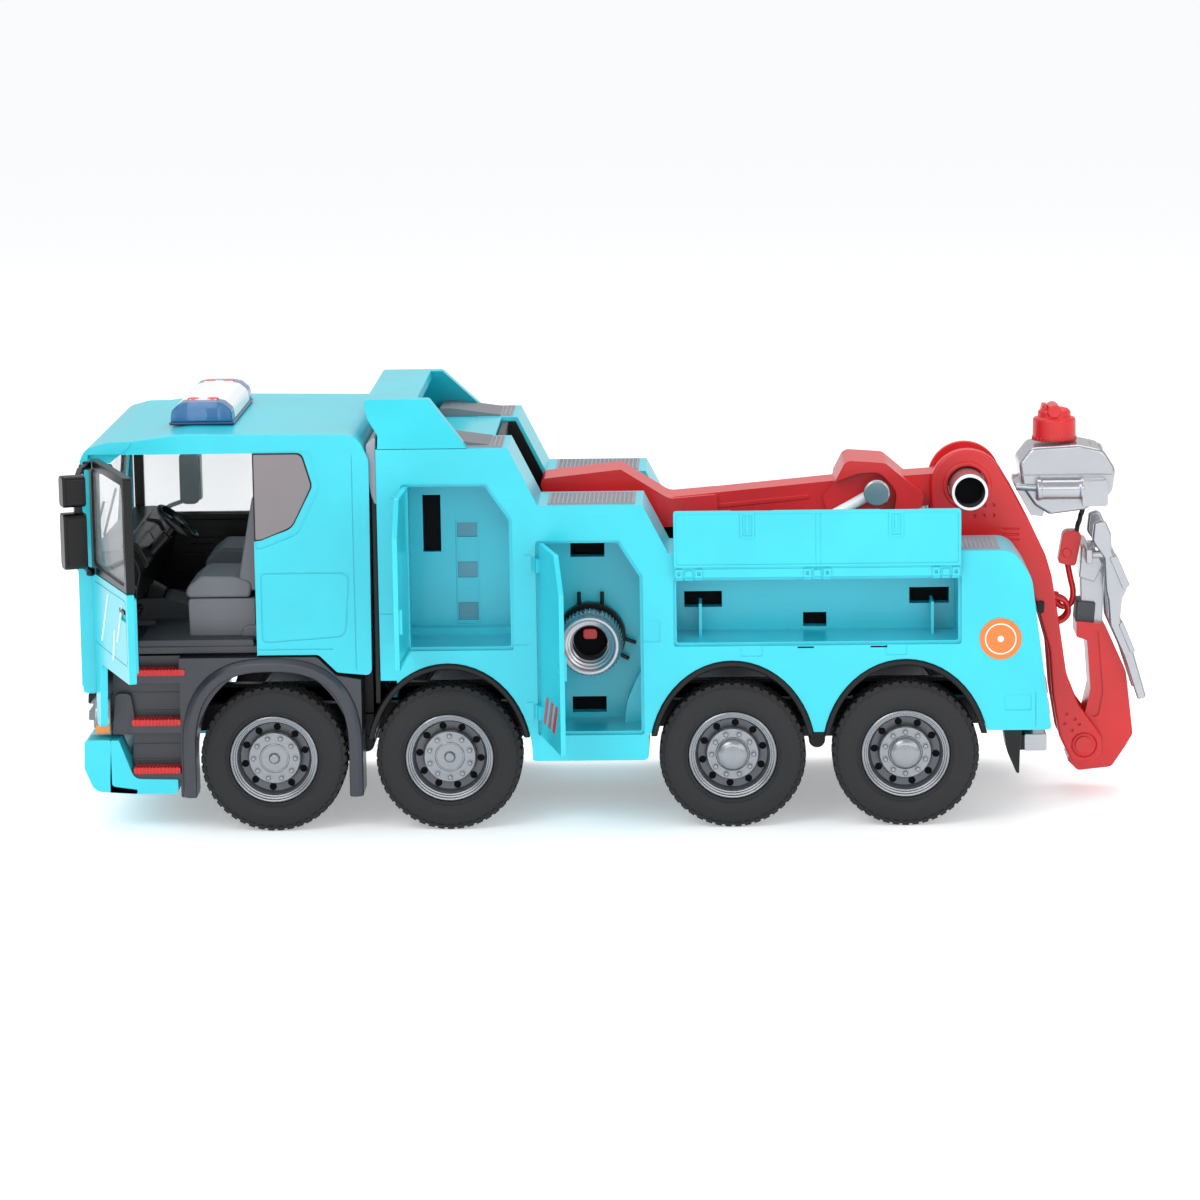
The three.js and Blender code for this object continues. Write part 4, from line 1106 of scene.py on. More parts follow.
def headboard():
    bm = bmesh.new()
    crest = [(-134, 236.6, 2), (-131, 227, 4), (-125, 219, 3), (-125, 212.3), (-76, 212.3), (-98, 236.6, 2)]
    slab(bm, rounded(crest, 0.2), -90.6, 90.6)
    soften(bm, lambda a, b: abs(a.y) > 90.5 and abs(b.y) > 90.5 and a.y * b.y > 0 and a.z + b.z > 430, 4, 1)
    hollow = bmesh.new()
    slab(hollow, [(-113, 212), (-60, 212), (-60, 250), (-104.6, 250), (-104.6, 231), (-113, 224)], -82, 82)
    for mesh in (bm, hollow):
        for v in mesh.verts:
            v.co.y -= math.copysign(max(0, v.co.z - 213) * service["lean"], v.co.y)
    lights = bmesh.new()
    for y in (-58, 58):
        block(lights, -104, -96, y - 3, y + 3, 236.2, 240)
    bm = carved(bm, hollow, lights)
    slab(bm, [(-125, 64), (-121, 64), (-121, 212.4), (-125, 212.4)], -37.2, 37.2)
    slab(bm, [(-113.4, 208), (-63.2, 208), (-63.2, 212), (-113.4, 212)], -37.2, 37.2)
    for y in (-28, 28):
        slab(bm, rounded([(-113.2, 211.8), (-100, 211.8), (-106, 224), (-113.2, 228)], 1), y - 1.2, y + 1.2)
    piece("headboardMoulding", bm, "turquoise", replaced=("headboard",), ease=0.6)
    wedge = bmesh.new()
    slab(wedge, rounded([(-129.2, 186, 1), (-126.2, 178, 1), (-126.2, 219, 1), (-131.6, 214, 2),
        (-131.4, 200, 2)], 1), -86, 86)
    piece("gapWedge", wedge, "tread", ease=0.6)
    # Painted shade: a black sheet filling the narrow gap between the cab's back and the service body
    strip = bmesh.new()
    block(strip, -129.4, -126.3, -85, 85, 70, 190)
    piece("gapShadeSheet", strip, "black", ease=0.6)
    deck = bmesh.new()
    slab(deck, rounded([(-99, 212), (-64, 212), (-64, 213), (-92, 217), (-99, 217)], 0.6), -81.6, -43)
    slab(deck, rounded([(-99, 212), (-64, 212), (-64, 213), (-92, 217), (-99, 217)], 0.6), 43, 81.6)
    piece("headboardLedges", deck, "grey", ease=0.4)


headboard()
piece("boomWell", cadShape("boom_well"), "black", replaced=("boom_well",), ease=0.7)
piece("chassisFrame", cadShape("chassis_frame"), "black", replaced=("chassis_frame",), ease=0.6)


def running():
    bm = bmesh.new()
    for x in (114, -137):
        rod(bm, 4.6, (x, -64, 43), (x, 64, 43), 24)
        for y in (-60, 60):
            block(bm, x - 5, x + 5, y - 3, y + 3, 44, 60)
    block(bm, 103, 125, -74, 74, 47, 53)
    for side in (-1, 1):
        y0, y1 = sorted((side * 34, side * 62))
        slab(bm, rounded([(-34, 42), (10, 42), (10, 60), (-34, 60)], 4), *sorted((side * 36, side * 37.6)))
        slab(bm, [(-143, 60), (-132, 60), (-132, 96), (-143, 96)], y0, y1)
    piece("undercarriage", bm, "black", ease=0.6)


running()
print("service body built")

# Locker doors, lids and the winch knob


def lockerDoor(kind, side, label):
    name = f"{kind.capitalize()}{label.capitalize()}"
    spec = lockers[kind]
    swings = dict(front=92, winch=77)
    knuckles = dict(front=(114, 180), winch=(66, 148))
    bm = bmesh.new()
    panel = rounded(grown(spec["outline"], 1.2), 1.6)
    slab(bm, panel, -91, -89.2)
    frameSlab(bm, panel, rounded(grown(spec["outline"], -0.8), 1.6), -89.4, -88.2)
    for z in knuckles[kind]:
        rod(bm, 1.25, (spec["hinge"], -92.4, z - 4), (spec["hinge"], -92.4, z + 4), 20)
        slab(bm, rounded([(spec["hinge"], z - 4, 0.3), (spec["hinge"] + 6.4, z - 4, 1),
            (spec["hinge"] + 6.4, z + 4, 1),
                          (spec["hinge"], z + 4, 0.3)], 0.4), -93.1, -90.4)
    xs = [p[0] for p in spec["outline"]]
    middle = 127 if kind == "front" else 100
    slab(bm, rounded([(max(xs) - 9, middle - 7, 1), (max(xs) - 0.8, middle - 7, 1.5),
        (max(xs) - 0.8, middle + 7, 1.5),
                      (max(xs) - 9, middle + 7, 1)], 1), -89.4, -86.6)
    for z in (middle - 4, middle, middle + 4):
        slab(bm, rounded([(max(xs) - 8, z - 0.5), (max(xs) - 1, z - 0.5), (max(xs) - 1, z + 0.5),
            (max(xs) - 8, z + 0.5)], 0.3),
             -91.4, -90.8)
    stripe = bmesh.new()
    low = min(p[1] for p in spec["outline"])
    for i in range(3):
        x = min(xs) + 8 + i * 13
        slab(stripe, [(x, low + 8), (x + 6, low + 8), (x + 16, low + 24), (x + 10, low + 24)], -91.3, -90.9)
    for mesh in (bm, stripe):
        if side < 0:
            swung(mesh, (spec["hinge"], -92.4, 0), "Z", -swings[kind])
        mirrored(mesh, side)
    body = f"{kind}_door_{label}"
    piece(f"door{name}", bm, "turquoise", body, (f"locker_door_{kind}_{label}",), ease=0.35)
    piece(f"doorStripe{name}", stripe, "red" if kind == "winch" else "white", body, ease=0)


def toolLid(side, label):
    spec = lockers["tool"]
    bm = bmesh.new()
    outline = [(35.8, 101.8, 1.5), (67, 101.8, 1), (69, 103, 1), (88, 103, 1), (90, 101.8, 1),
        (148, 101.8, 1), (150, 103, 1),
               (168, 103, 1), (170, 101.8, 1), (192.2, 101.8, 1.5), (192.2, 138.8, 1), (35.8, 138.8, 1)]
    slab(bm, rounded(outline, 1), -91, -89.8)
    slab(bm, rounded([(36.4, 102.4), (191.6, 102.4), (191.6, 132.4), (36.4, 132.4)], 1), -90, -89.0)
    frameSlab(bm, rounded([(35.8, 101.8), (192.2, 101.8), (192.2, 132.8), (35.8, 132.8)], 1.5),
              rounded([(37.2, 103.4), (190.8, 103.4), (190.8, 131.4), (37.2, 131.4)], 1.5), -89.6, -88.4)
    slab(bm, rounded([(35.8, 133.8), (192.2, 133.8), (192.2, 138.6), (35.8, 138.6)], 0.4), -90, -89.5)
    for x in (44, 114, 184):
        for dx in (-5.4, 5.4):
            x0, x1 = x + dx - 2, x + dx + 2
            frameSlab(bm, rounded([(x0, 133.8), (x1, 133.8), (x1, 138.6), (x0, 138.6)], 0.5),
                      rounded([(x0 + 1.2, 135.2), (x1 - 1.2, 135.2), (x1 - 1.2, 137.2), (x0 + 1.2, 137.2)],
                      0.2), -89.6, -88.3)
        slab(bm, rounded([(x - 2, 134.6), (x + 2, 134.6), (x + 2, 138.2), (x - 2, 138.2)], 0.5), -89.6, -88.5)
    for x in (76, 157):
        frameSlab(bm, rounded([(x - 4, 103), (x + 4, 103), (x + 4, 117), (x - 4, 117)], 1),
                  rounded([(x - 2.6, 104), (x + 2.6, 104), (x + 2.6, 115.6), (x - 2.6, 115.6)], 0.6), -89.6,
                  -88.3)
        block(bm, x - 0.9, x + 0.9, -89.6, -88.4, 104, 114)
    for x in (113, 115.6):
        block(bm, x, x + 0.5, -89.6, -88.8, 103.6, 137)
    for x in (44, 114, 184):
        rod(bm, 1.25, (x - 2.4, -92.4, spec["hinge"]), (x + 2.4, -92.4, spec["hinge"]), 20)
        slab(bm, rounded([(x - 2.6, 133.6, 0.5), (x + 2.6, 133.6, 0.5), (x + 2.6, 138.8, 0.5),
            (x - 2.6, 138.8, 0.5)], 0.5),
             -93.1, -90.9)
    if side < 0:
        swung(bm, (0, -92.4, spec["hinge"]), "X", -180)
    mirrored(bm, side)
    piece(f"toolLid{label.capitalize()}", bm, "turquoise", f"tool_cover_{label}", (f"tool_lid_{label}",),
        ease=0.3)

    strip = bmesh.new()
    for x in (44, 114, 184):
        for dx in (-5.2, 5.2):
            frameSlab(strip, rounded([(x + dx - 2.2, 140), (x + dx + 2.2, 140), (x + dx + 2.2, 144.6),
                (x + dx - 2.2, 144.6)], 0.6),
                      rounded([(x + dx - 0.9, 141.4), (x + dx + 0.9, 141.4), (x + dx + 0.9, 143.2),
                      (x + dx - 0.9, 143.2)], 0.2),
                      -92.7, -91.4)
            rod(strip, 1.25, (x + dx - 2.2, -92.4, spec["hinge"]), (x + dx + 2.2, -92.4, spec["hinge"]), 20)
    mirrored(strip, side)
    piece(f"hingeStrip{label.capitalize()}", strip, "turquoise", ease=0.2)


for lidSide, lidLabel in sides:
    lockerDoor("front", lidSide, lidLabel)
    lockerDoor("winch", lidSide, lidLabel)
    toolLid(lidSide, lidLabel)

knob = dict(x=-11, z=101, teeth=48, bore=9.8)


def winchKnob():
    x, z = knob["x"], knob["z"]
    bm = bmesh.new()
    profile = [(knob["bore"], -61), (knob["bore"], -76), (10.6, -76.6), (10.9, -79.4), (12.0, -79.8),
        (12.3, -82), (13.4, -82.4),
               (13.9, -84.4), (14.6, -85), (15.8, -85), (16.5, -84.2), (16.8, -79.5),
               (17.3, -79), (17.3, -67), (16.4, -66), (15.4, -66), (15.4, -52), (0, -52), (0, -61)]
    turned(bm, profile, (x, 0, z), crosswise, 96)
    for i in range(knob["teeth"]):
        a = 2 * math.pi * i / knob["teeth"]
        loops = []
        for y, r in ((-78.4, 17.2), (-77.6, 18.2), (-68.6, 18.2), (-67.6, 17.2)):
            ends = [(a - 0.032, 17.0), (a - 0.02, r), (a + 0.02, r), (a + 0.032, 17.0)]
            loops.append([(x + q * math.cos(t), y, z + q * math.sin(t)) for t, q in ends])
        skin(bm, loops)
    piece("knobBody", bm, "silver", "knob", ("winch_knob",), ease=0)
    # Painted shade: a near-black disc on the floor of the knob's bore
    socketShade = bmesh.new()
    turned(socketShade, [(9.6, -62.4), (9.6, -61.2), (0, -61.2)], (x, 0, z), crosswise, 40)
    piece("knobSocketShade", socketShade, "paintedShadeBlack", "knob", ease=0)
    pin = bmesh.new()
    slab(pin, rounded([(x - 4, z + 1), (x + 4, z + 1), (x + 4, z + 7), (x - 4, z + 7)], 2), -70, -62)
    piece("knobKey", pin, "red", "knob", ease=0.6)
    ring = bmesh.new()
    frameSlab(ring, circle(x, z, 19.2, 64), circle(x, z, 15.9, 64), -57, -51)
    for px, pz, qx, qz in ((x - 6.4, z + 17, x - 6.4, z + 25), (x + 6.4, z + 17, x + 6.4, z + 25),
                           (x + 17, z - 1, x + 25, z - 4), (x + 15, z - 10, x + 21, z - 13)):
        rod(ring, 1.1, (px, -54, pz), (qx, -54, qz), 14)
    piece("winchBracket", ring, "black", ease=0.4)


winchKnob()
print("lockers and knob built")

# Boom, arm, underlift and winch head


def boomPieces():
    bm = bmesh.new()
    nose = [(-38, 176, 3), (-40, 184, 4), (6, 189, 3), (33, 172, 10), (60, 174.2, 2), (60, 158, 2),
        (33, 156, 8),
            (-10, 154, 3), (-30, 154, 4), (-38, 162, 3)]
    slab(bm, rounded(nose, 2), -17, 17)
    beam = [(30, 172, 2), (124, 180.6, 3), (180, 184, 3), (196, 190, 4), (206, 184, 3), (206, 170, 3),
        (150, 162, 3), (30, 157, 2)]
    slab(bm, rounded(beam, 2), -12.6, 12.6)
    soften(bm, lambda a, b: abs(a.y) > 12.5 and abs(b.y) > 12.5 and a.y * b.y > 0 and a.z + b.z > 325, 2.4, 1)
    hump = [(119, 172, 3), (124, 178, 4), (132, 193.6, 5), (154, 192, 6), (168, 180, 4), (176, 174, 3),
        (174, 166, 2),
            (122, 163.4, 3)]
    body = bmesh.new()
    slab(body, rounded(hump, 3), -24, 24)
    soften(body, lambda a, b: abs(a.y) > 23.9 and abs(b.y) > 23.9 and a.y * b.y > 0 and a.z + b.z > 350, 3, 2)
    ways = bmesh.new()
    for s in (-1, 1):
        slab(ways, rounded([(96, 148, 1), (96, 171, 2), (139, 186.4, 10), (151, 187, 9), (160.6, 176, 8),
            (158, 158, 3)], 2),
             *sorted((s * 16, s * 30)))
    body = carved(body, ways)
    bore = bmesh.new()
    turned(bore, [(10.9, -40), (10.9, 40)], (200, 0, 178), crosswise, 48)
    bm = carved(bm, bore)
    piece("boomBeam", bm, "red", "main_boom", ("boom",), ease=0.7, segments=3)
    piece("boomHump", body, "red", "main_boom", ease=0.7, segments=3)
    ring = bmesh.new()
    turned(ring, [(10.9, -12.6), (14, -12.6), (14, 12.6), (10.9, 12.6)], (200, 0, 178), crosswise, 56,
        closed=True)
    piece("boomKneeRing", ring, "red", "main_boom", ease=0.8)
    pins = bmesh.new()
    rod(pins, 3, (149, -30, 176), (149, 30, 176), 28)
    rod(pins, 3, (-22, -30.8, 160), (-22, 30.8, 160), 28)
    for s in (-1, 1):
        profile = [(7.0, s * 27.4), (7.4, s * 28), (7.4, s * 30.4), (6.6, s * 31), (0, s * 31)]
        turned(pins, [(0, s * 27.4)] + profile, (149, 0, 176), crosswise, 40)
    piece("boomPins", pins, "silver", "main_boom", ease=0.3)
    rails = bmesh.new()
    for s in (-1, 1):
        slab(rails, rounded([(40, 164), (112, 170.6), (112, 173.2), (40, 166.6)], 0.8),
            *sorted((s * 12.4, s * 13.4)))
    piece("boomRibs", rails, "red", "main_boom", ease=0.4)

    tube = bmesh.new()
    profile = [(8.4, -45), (9.6, -45.2), (10.2, -44.4), (10.2, 44.4), (9.6, 45.2), (8.4, 45)]
    turned(tube, profile, (200, 0, 178), crosswise, 64, closed=True)
    piece("kneeTube", tube, "silver", "main_boom", ("knee_tube",), ease=0.25)
    rims = bmesh.new()
    for s in (-1, 1):
        turned(rims, [(8.5, s * 44.8), (10.0, s * 44.8), (10.0, s * 45.5), (8.5, s * 45.5)], (200, 0, 178),
            crosswise, 64,
               closed=True)
    piece("kneeTubeRims", rims, "white", "main_boom", ease=0.2)
    # Painted shade: near-black discs set inside the open knee tube, 15 mm in from each end, so its bore reads
    # dark
    tubeShade = bmesh.new()
    turned(tubeShade, [(8.3, -30), (8.3, -29), (0, -29), (0, -30)], (200, 0, 178), crosswise, 40)
    turned(tubeShade, [(8.3, 29), (8.3, 30), (0, 30), (0, 29)], (200, 0, 178), crosswise, 40)
    piece("kneeTubeShade", tubeShade, "paintedShadeBlack", "main_boom", ease=0)


def liftPieces():
    foot, pin = Vector((62, 0, 128)), Vector((149, 0, 176))
    along = (pin - foot).normalized()
    reach = (pin - foot).length
    barrels, rods = bmesh.new(), bmesh.new()
    rod(barrels, 3, foot + crosswise * -32.6, foot + crosswise * 32.6, 28)
    for y in (-22, 22):
        base = foot + crosswise * y
        profile = [(0, -4), (4, -4), (5, -2.6), (5, 3), (4.4, 3.6), (4.4, 46), (5, 46.6), (5, 51.6),
            (4.6, 52), (3.4, 52),
                   (3.4, 12), (0, 12)]
        turned(barrels, profile, base, along, 36)
        turned(rods, [(0, 14), (3, 14), (3, reach - 6.4), (2.6, reach - 5.6), (0, reach - 5.6)], base,
            along, 32)
    rod(rods, 1.8, foot + along * 62 + crosswise * -22, foot + along * 62 + crosswise * 22, 20)
    piece("liftBarrels", barrels, "silver", "barrel_pair", ("lift_barrels",), ease=0.3)
    piece("liftRods", rods, "white", "rod_pair", ("lift_rods",), ease=0.3)


armOutline = [
    (180, 158, 3), *[(200 + 20.5 * math.cos(math.radians(a)), 178 + 20.5 * math.sin(math.radians(a)), 0.1)
                     for a in range(180, 18, -6)], (226, 174, 14), (236, 155, 20), (244, 138, 8),
                     (247.5, 126, 10), (250.5, 108, 20), (256, 70, 20), (263, 52, 10), (276, 34, 6),
    (276, 24, 5), (270, 18.4, 3), (259, 19, 2), (252, 34, 8), (248, 58, 16), (246, 84, 20), (239, 109, 20),
    (232, 131, 10),
    (222, 139, 8), (206, 146.5, 10), (186, 148, 5),
]


def armPieces():
    bm = bmesh.new()
    for s in (-1, 1):
        y0, y1 = sorted((s * 13.2, s * 19))
        slab(bm, rounded(armOutline, 3), y0, y1)
    soften(bm, lambda a, b: abs(a.y) > 18.9 and abs(b.y) > 18.9 and a.y * b.y > 0, 1.6, 3)
    slab(bm, rounded([(222, 142), (240, 132), (246, 112), (250, 86), (247, 84), (240, 109), (233, 131)], 2),
        -14, 14)
    holes = bmesh.new()
    for x, z in ((209.5, 166.5), (214.6, 166.7), (204, 160.6), (209.3, 160.8), (214.6, 161), (256, 47),
        (260.6, 44),
                 (254.8, 41.4), (259, 37.6), (263, 41)):
        turned(holes, [(0.9, -20), (0.9, -18)], (x, 0, z), crosswise, 14)
        turned(holes, [(0.9, 18), (0.9, 20)], (x, 0, z), crosswise, 14)
    for z in (152.6, 149.4, 146.4):
        for s in (-1, 1):
            block(holes, 219, 229, *sorted((s * 18.3, s * 20)), z, z + 1)
    bore = bmesh.new()
    turned(bore, [(10.9, -40), (10.9, 40)], (200, 0, 178), crosswise, 48)
    grooves = bmesh.new()
    for s in (-1, 1):
        y0, y1 = sorted((s * 18.4, s * 20))
        frameSlab(grooves, circle(266, 29, 7.2, 40), circle(266, 29, 6.6, 40), y0, y1)
    bm = carved(bm, bore, holes, grooves)
    rod(bm, 5, (266, -20.4, 29), (266, 20.4, 29), 32)
    rod(bm, 2, (248, -6, 100), (248, 6, 100), 16)
    piece("tailArm", bm, "red", "rear_arm", ("tail_arm",), ease=0.4)
    rings = bmesh.new()
    for s in (-1, 1):
        profile = [(10.8, s * 18.4), (13.6, s * 18.4), (13.6, s * 19.6), (13.0, s * 20.2), (11.4, s * 20.2),
            (10.8, s * 19.6)]
        turned(rings, profile, (200, 0, 178), crosswise, 64, closed=True)
    piece("armKneeRings", rings, "red", "rear_arm", ease=0.3)
    loop = bmesh.new()
    section = [(1.5 * math.cos(a), 1.5 * math.sin(a)) for a in (math.pi * i / 6 for i in range(12))]
    for y in (-4, 4):
        path = curved([(246, y, 112), (252, y, 111), (257, y, 108), (258, y, 102), (254, y, 97.6),
            (247, y, 97)], 5)
        sweep(loop, path, section, up=crosswise)
    piece("hookLoop", loop, "red", "rear_arm", ease=0)
    latch = bmesh.new()
    slab(latch, rounded([(238.6, 112), (243.4, 112), (243, 105.6), (240, 104.6)], 1), -21, -14)
    piece("armLatch", latch, "black", "rear_arm", ease=0.4)


def headPieces():
    bm = bmesh.new()
    body = [(231, 176, 2), (229, 190, 4), (236, 199, 6), (262, 200.4, 8), (276, 197.4, 8), (283, 186, 7),
        (281, 173, 5),
            (266, 163.5, 5), (246, 161, 4), (238, 166, 3)]
    slab(bm, rounded(body, 4), -19.5, 19.5)
    soften(bm, lambda a, b: abs(a.y) > 19.4 and abs(b.y) > 19.4 and a.y * b.y > 0, 4, 4)
    way = bmesh.new()
    block(way, 258, 274, -6.4, 6.4, 150, 176)
    grooves = bmesh.new()
    for s in (-1, 1):
        block(grooves, 230, 284, *sorted((s * 19.1, s * 22)), 183.4, 184)
    bm = carved(bm, way, grooves)
    slab(bm, rounded([(226.6, 177), (231, 178.4), (244, 166), (243, 159), (236, 160)], 1), -12.8, 12.8)
    for i in range(3):
        block(bm, 270 + i * 2.6, 271.4 + i * 2.6, -8, 8, 196, 199 - i * 0.8)
    piece("winchHead", bm, "silver", "rear_arm", ("winch_head",), ease=0.5)
    drums = bmesh.new()
    for s in (-1, 1):
        profile = [(0, 238), (5.6, 238), (6.6, 239), (6.6, 241), (6.1, 241.6), (6.1, 262.4), (6.6, 263),
            (6.6, 265), (0, 265)]
        turned(drums, profile, (0, s * 21, 176), lengthwise, 40)
        rod(drums, 2.1, (227.5, s * 18, 177), (239, s * 20, 176.4), 20)
        slab(drums, rounded([(263.6, 166.6), (278, 166.6), (278, 181), (263.6, 181)], 1.5),
            *sorted((s * 17, s * 27)))
        slab(drums, rounded([(263, 180.6), (276, 180.6), (276, 182.4), (263, 182.4)], 0.6),
            *sorted((s * 17, s * 24)))
    piece("headMotors", drums, "silver", "rear_arm", ease=0.6, segments=3)

    cap = bmesh.new()
    profile = [(0, 200.9), (12, 200.9), (12.2, 203), (12, 212.6), (11.2, 213.8), (9.6, 213.8), (9.3, 214.6),
        (9.2, 217),
               (7.6, 218.6), (5, 219.3), (0, 219.5)]
    turned(cap, profile, (250, 0, 0), upright, 64)
    for i in range(30):
        a = 2 * math.pi * i / 30
        c, s = math.cos(a), math.sin(a)
        block(cap, 250 + 12.1 * c - 0.5, 250 + 12.1 * c + 0.5, 12.1 * s - 0.5, 12.1 * s + 0.5, 200.8, 203.2)
    slab(cap, rounded([(241.4, 213), (246, 213), (246, 221.5), (243, 221.5)], 1.2), -5, 5)
    turned(cap, [(0, -9.6), (3.4, -9.6), (4, -8.6), (4, 8.6), (3.4, 9.6), (0, 9.6)], (249.4, 0, 217.6),
        crosswise, 32)
    piece("swivelCap", cap, "red", "cap", ("swivel_cap",), ease=0.4)

    rope = bmesh.new()
    start, end = Vector((268.8, 0, 170)), Vector((262.6, 0, 148.6))
    across = (end - start).cross(crosswise).normalized()
    for y in (-3, 3):
        loops = []
        for i in range(61):
            t = i / 60
            centre = start.lerp(end, t) + crosswise * y
            loops.append([
                centre + (across * math.cos(a) + crosswise * math.sin(a)) * (
                0.95 + 0.18 * math.cos(3 * a - 26 * t))
                for a in (2 * math.pi * k / 18 for k in range(18))
            ])
        skin(rope, loops)
    piece("winchRope", rope, "rope", "rear_arm", ("winch_rope",), ease=0)
    hook = bmesh.new()
    slab(hook, rounded([(252, 131, 2), (262, 129, 2), (265.5, 147, 2), (262, 149.4, 3), (255, 149.4, 4)],
        2), -5, 5)
    section = [(1.7 * math.cos(a), 2.2 * math.sin(a)) for a in (math.pi * i / 6 for i in range(12))]
    path = curved([(257.6, 0, 131), (259.4, 0, 122), (261, 0, 114), (259.6, 0, 107), (254.6, 0, 105.4),
        (251, 0, 109.4),
                   (251.4, 0, 114)], 6)
    sweep(hook, path, section, up=crosswise)
    rod(hook, 2.6, (257, -6, 137), (257, 6, 137), 24)
    piece("hookBlock", hook, "red", "rear_arm", ("hook",), ease=0.7, segments=3)


def underliftPieces():
    bm = bmesh.new()
    tongue = [(257, 19, 2), (263, 13, 3), (282, 15, 4), (290, 27, 3), (294, 34, 3), (290, 70, 16),
        (278, 97, 2), (262, 99, 1),
              (262, 90, 1), (268, 88, 1), (270, 60, 10), (266, 42, 4)]
    slab(bm, rounded(tongue, 2), -12.8, 12.8)
    bore = bmesh.new()
    turned(bore, [(5.5, -22), (5.5, 22)], (266, 0, 29), crosswise, 32)
    channel = bmesh.new()
    for s in (-1, 1):
        slab(channel, rounded([(271.4, 93, 1), (274.4, 93, 1), (277.2, 58, 6), (274.6, 44, 3),
            (269.6, 44, 2), (273.6, 60, 8)], 1),
             *sorted((s * 11.6, s * 14)))
    bm = carved(bm, bore, channel)
    piece("tongueMoulding", bm, "red", "tongue", ("underlift",), ease=0.9, segments=3)
    cross = bmesh.new()
    slab(cross, rounded([(265, 96), (277, 95), (278, 124), (268, 140), (264.5, 122)], 1.5), -7, 7)
    slab(cross, rounded([(266, 134), (269.6, 134), (269.6, 142), (266, 142)], 1), -26, 26)
    slab(cross, rounded([(263.4, 124, 1), (272, 121, 1), (277, 131, 2), (272, 141, 1), (265, 141, 1)], 1),
        -11.4, 11.4)
    piece("crossHead", cross, "silver", "tongue", ease=0.7)
    neck = bmesh.new()
    slab(neck, rounded([(261.6, 98), (272, 97), (273, 109), (262.6, 110)], 1), -9.6, 9.6)
    piece("neckSleeve", neck, "darkGrey", "tongue", ease=0.7)
    fork = [(271, 156, 2), (277, 158, 3), (280.5, 150, 4), (281, 141, 4), (284, 133, 4), (290, 119, 4),
        (287, 113, 4), (286, 102, 8),
            (293, 84, 12), (301, 56, 1.5), (296, 55, 1.5), (288, 80, 12), (280, 98, 8), (279, 112, 4),
            (277.6, 118, 3),
            (276.6, 136, 3), (270, 146, 4)]
    for s, label in sides:
        arm = bmesh.new()
        slab(arm, rounded(fork, 2), 15, 21)
        soften(arm, lambda a, b: a.y * b.y > 0 and abs(a.y - b.y) < 0.01, 1.3, 2)
        slab(arm, rounded([(279.4, 137, 1), (284, 137.6, 1), (291, 121, 1), (287.4, 118, 1)], 1), 12.6, 23)
        slab(arm, rounded([(285, 98, 1), (287, 101, 1), (294.4, 83, 1), (291.6, 82, 1)], 0.6), 13.6, 22.4)
        rod(arm, 2.2, (270, 18, 138), (279.6, 18, 138), 24)
        if s < 0:
            bmesh.ops.scale(arm, vec=(1, -1, 1), verts=arm.verts)
        piece(f"claw{label.capitalize()}", arm, "silver", f"fork_arm_{label}", (f"fork_{label}",), ease=0.35)


def underrun():
    bm = bmesh.new()
    slab(bm, rounded([(229, 35), (241.6, 35), (241.6, 44.6), (229, 44.6)], 1), -62, 62)
    piece("underrunBar", bm, "silver", replaced=("underrun_bar",), ease=0.5)
    ends = bmesh.new()
    for s in (-1, 1):
        slab(ends, rounded([(222, 36), (230, 36), (230, 52.6), (222, 52.6)], 1), *sorted((s * 34, s * 41)))
        slab(ends, rounded([(220.6, 35.4), (230.4, 35.4), (230.4, 44.2), (220.6, 44.2)], 1),
            *sorted((s * 46, s * 61.6)))
    piece("underrunBrackets", ends, "black", ease=0.5)


boomPieces()
liftPieces()
armPieces()
headPieces()
underliftPieces()
underrun()
print("boom, arm and underlift built")

# Floor, light and camera

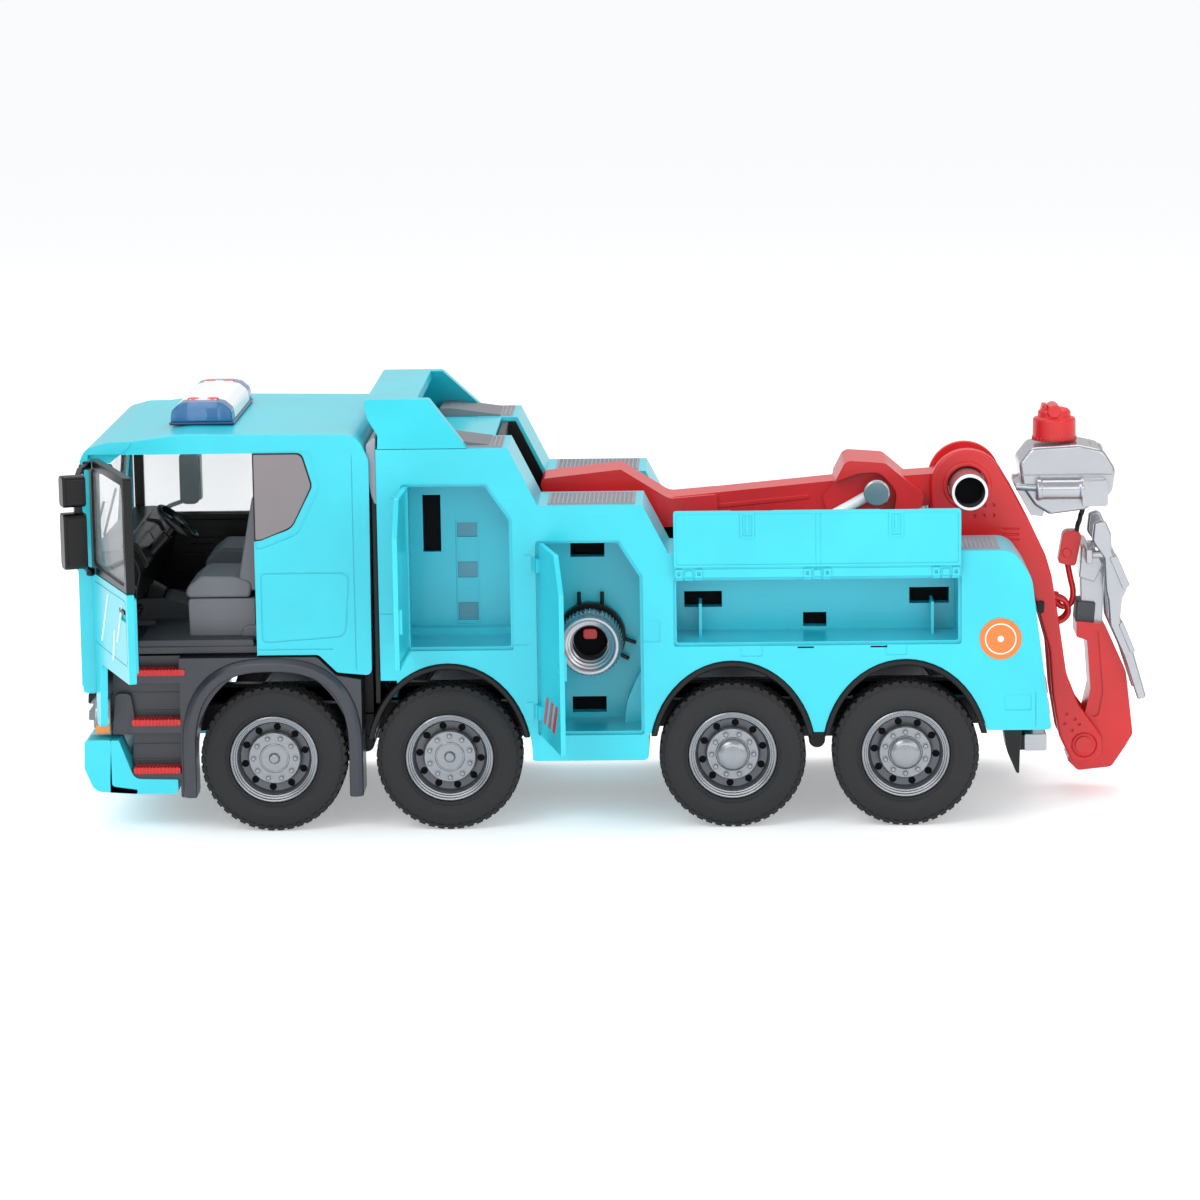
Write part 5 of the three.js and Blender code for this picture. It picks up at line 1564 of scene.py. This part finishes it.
studio = dict(floor=24.0, white=(247, 248, 250), glow=0.34, key=13.0, fill=5.0, front=11.0, top=15.0,
    sky=0.66)
floorMesh = bpy.data.meshes.new("floor")
floorShape = bmesh.new()
bmesh.ops.create_grid(floorShape, x_segments=2, y_segments=2, size=studio["floor"])
floorShape.to_mesh(floorMesh)
floorShape.free()
floor = bpy.data.objects.new("floor", floorMesh)
bpy.context.scene.collection.objects.link(floor)
floor.location.z = cadBox[0].z - 0.0003
floorPaint = bpy.data.materials.new("paleFloor")
floorPaint.use_nodes = True
floorShader = floorPaint.node_tree.nodes["Principled BSDF"]
floorShader.inputs["Base Color"].default_value = linear(*studio["white"])
floorShader.inputs["Roughness"].default_value = 0.9
floorShader.inputs["Emission Color"].default_value = (1, 1, 1, 1)
floorShader.inputs["Emission Strength"].default_value = studio["glow"]
floorMesh.materials.append(floorPaint)

world = bpy.data.worlds.new("studioSky")
world.use_nodes = True
world.node_tree.nodes["Background"].inputs["Color"].default_value = (1, 1, 1, 1)
world.node_tree.nodes["Background"].inputs["Strength"].default_value = studio["sky"]
bpy.context.scene.world = world


def softLight(name, place, aim, size, power):
    light = bpy.data.lights.new(name, "AREA")
    light.shape = "RECTANGLE"
    light.size, light.size_y = size
    light.energy = power
    holder = bpy.data.objects.new(name, light)
    holder.location = place
    holder.rotation_euler = (Vector(aim) - Vector(place)).to_track_quat("-Z", "Y").to_euler()
    bpy.context.scene.collection.objects.link(holder)


softLight("keyLight", (-0.9, -1.5, 1.5), (0, 0, 0.1), (1.2, 0.9), studio["key"])
softLight("fillLight", (1.3, -1.2, 0.8), (0, 0, 0.12), (1.0, 1.0), studio["fill"])
softLight("frontLight", (0.1, -2.3, 0.75), (0, 0, 0.1), (2.4, 0.7), studio["front"])
softLight("topLight", (0.1, 0.5, 1.6), (0, 0, 0.1), (1.8, 1.2), studio["top"])

view = dict(place=(57.77, -2406.34, 537.29), yaw=-1.547, down=10.026, roll=-0.861, lens=129.0)
yaw, down, roll = (math.radians(view[k]) for k in ("yaw", "down", "roll"))
ahead = Vector((math.sin(yaw) * math.cos(down), math.cos(yaw) * math.cos(down), -math.sin(down)))
level = Vector((math.cos(yaw), -math.sin(yaw), 0))
above = level.cross(ahead)
right = level * math.cos(roll) + above * math.sin(roll)
top = above * math.cos(roll) - level * math.sin(roll)
camera = bpy.data.objects.new("camera", bpy.data.cameras.new("camera"))
camera.data.lens = view["lens"]
camera.data.sensor_width = 36
camera.data.clip_start, camera.data.clip_end = 0.05, 50
turn = Matrix((right, top, -ahead)).transposed().to_4x4()
camera.matrix_world = Matrix.Translation(truckOrigin + Vector(view["place"]) / 1000) @ turn
bpy.context.scene.collection.objects.link(camera)
bpy.context.scene.camera = camera
bpy.context.scene.view_settings.view_transform = "Standard"
print("stage, lights and camera set")
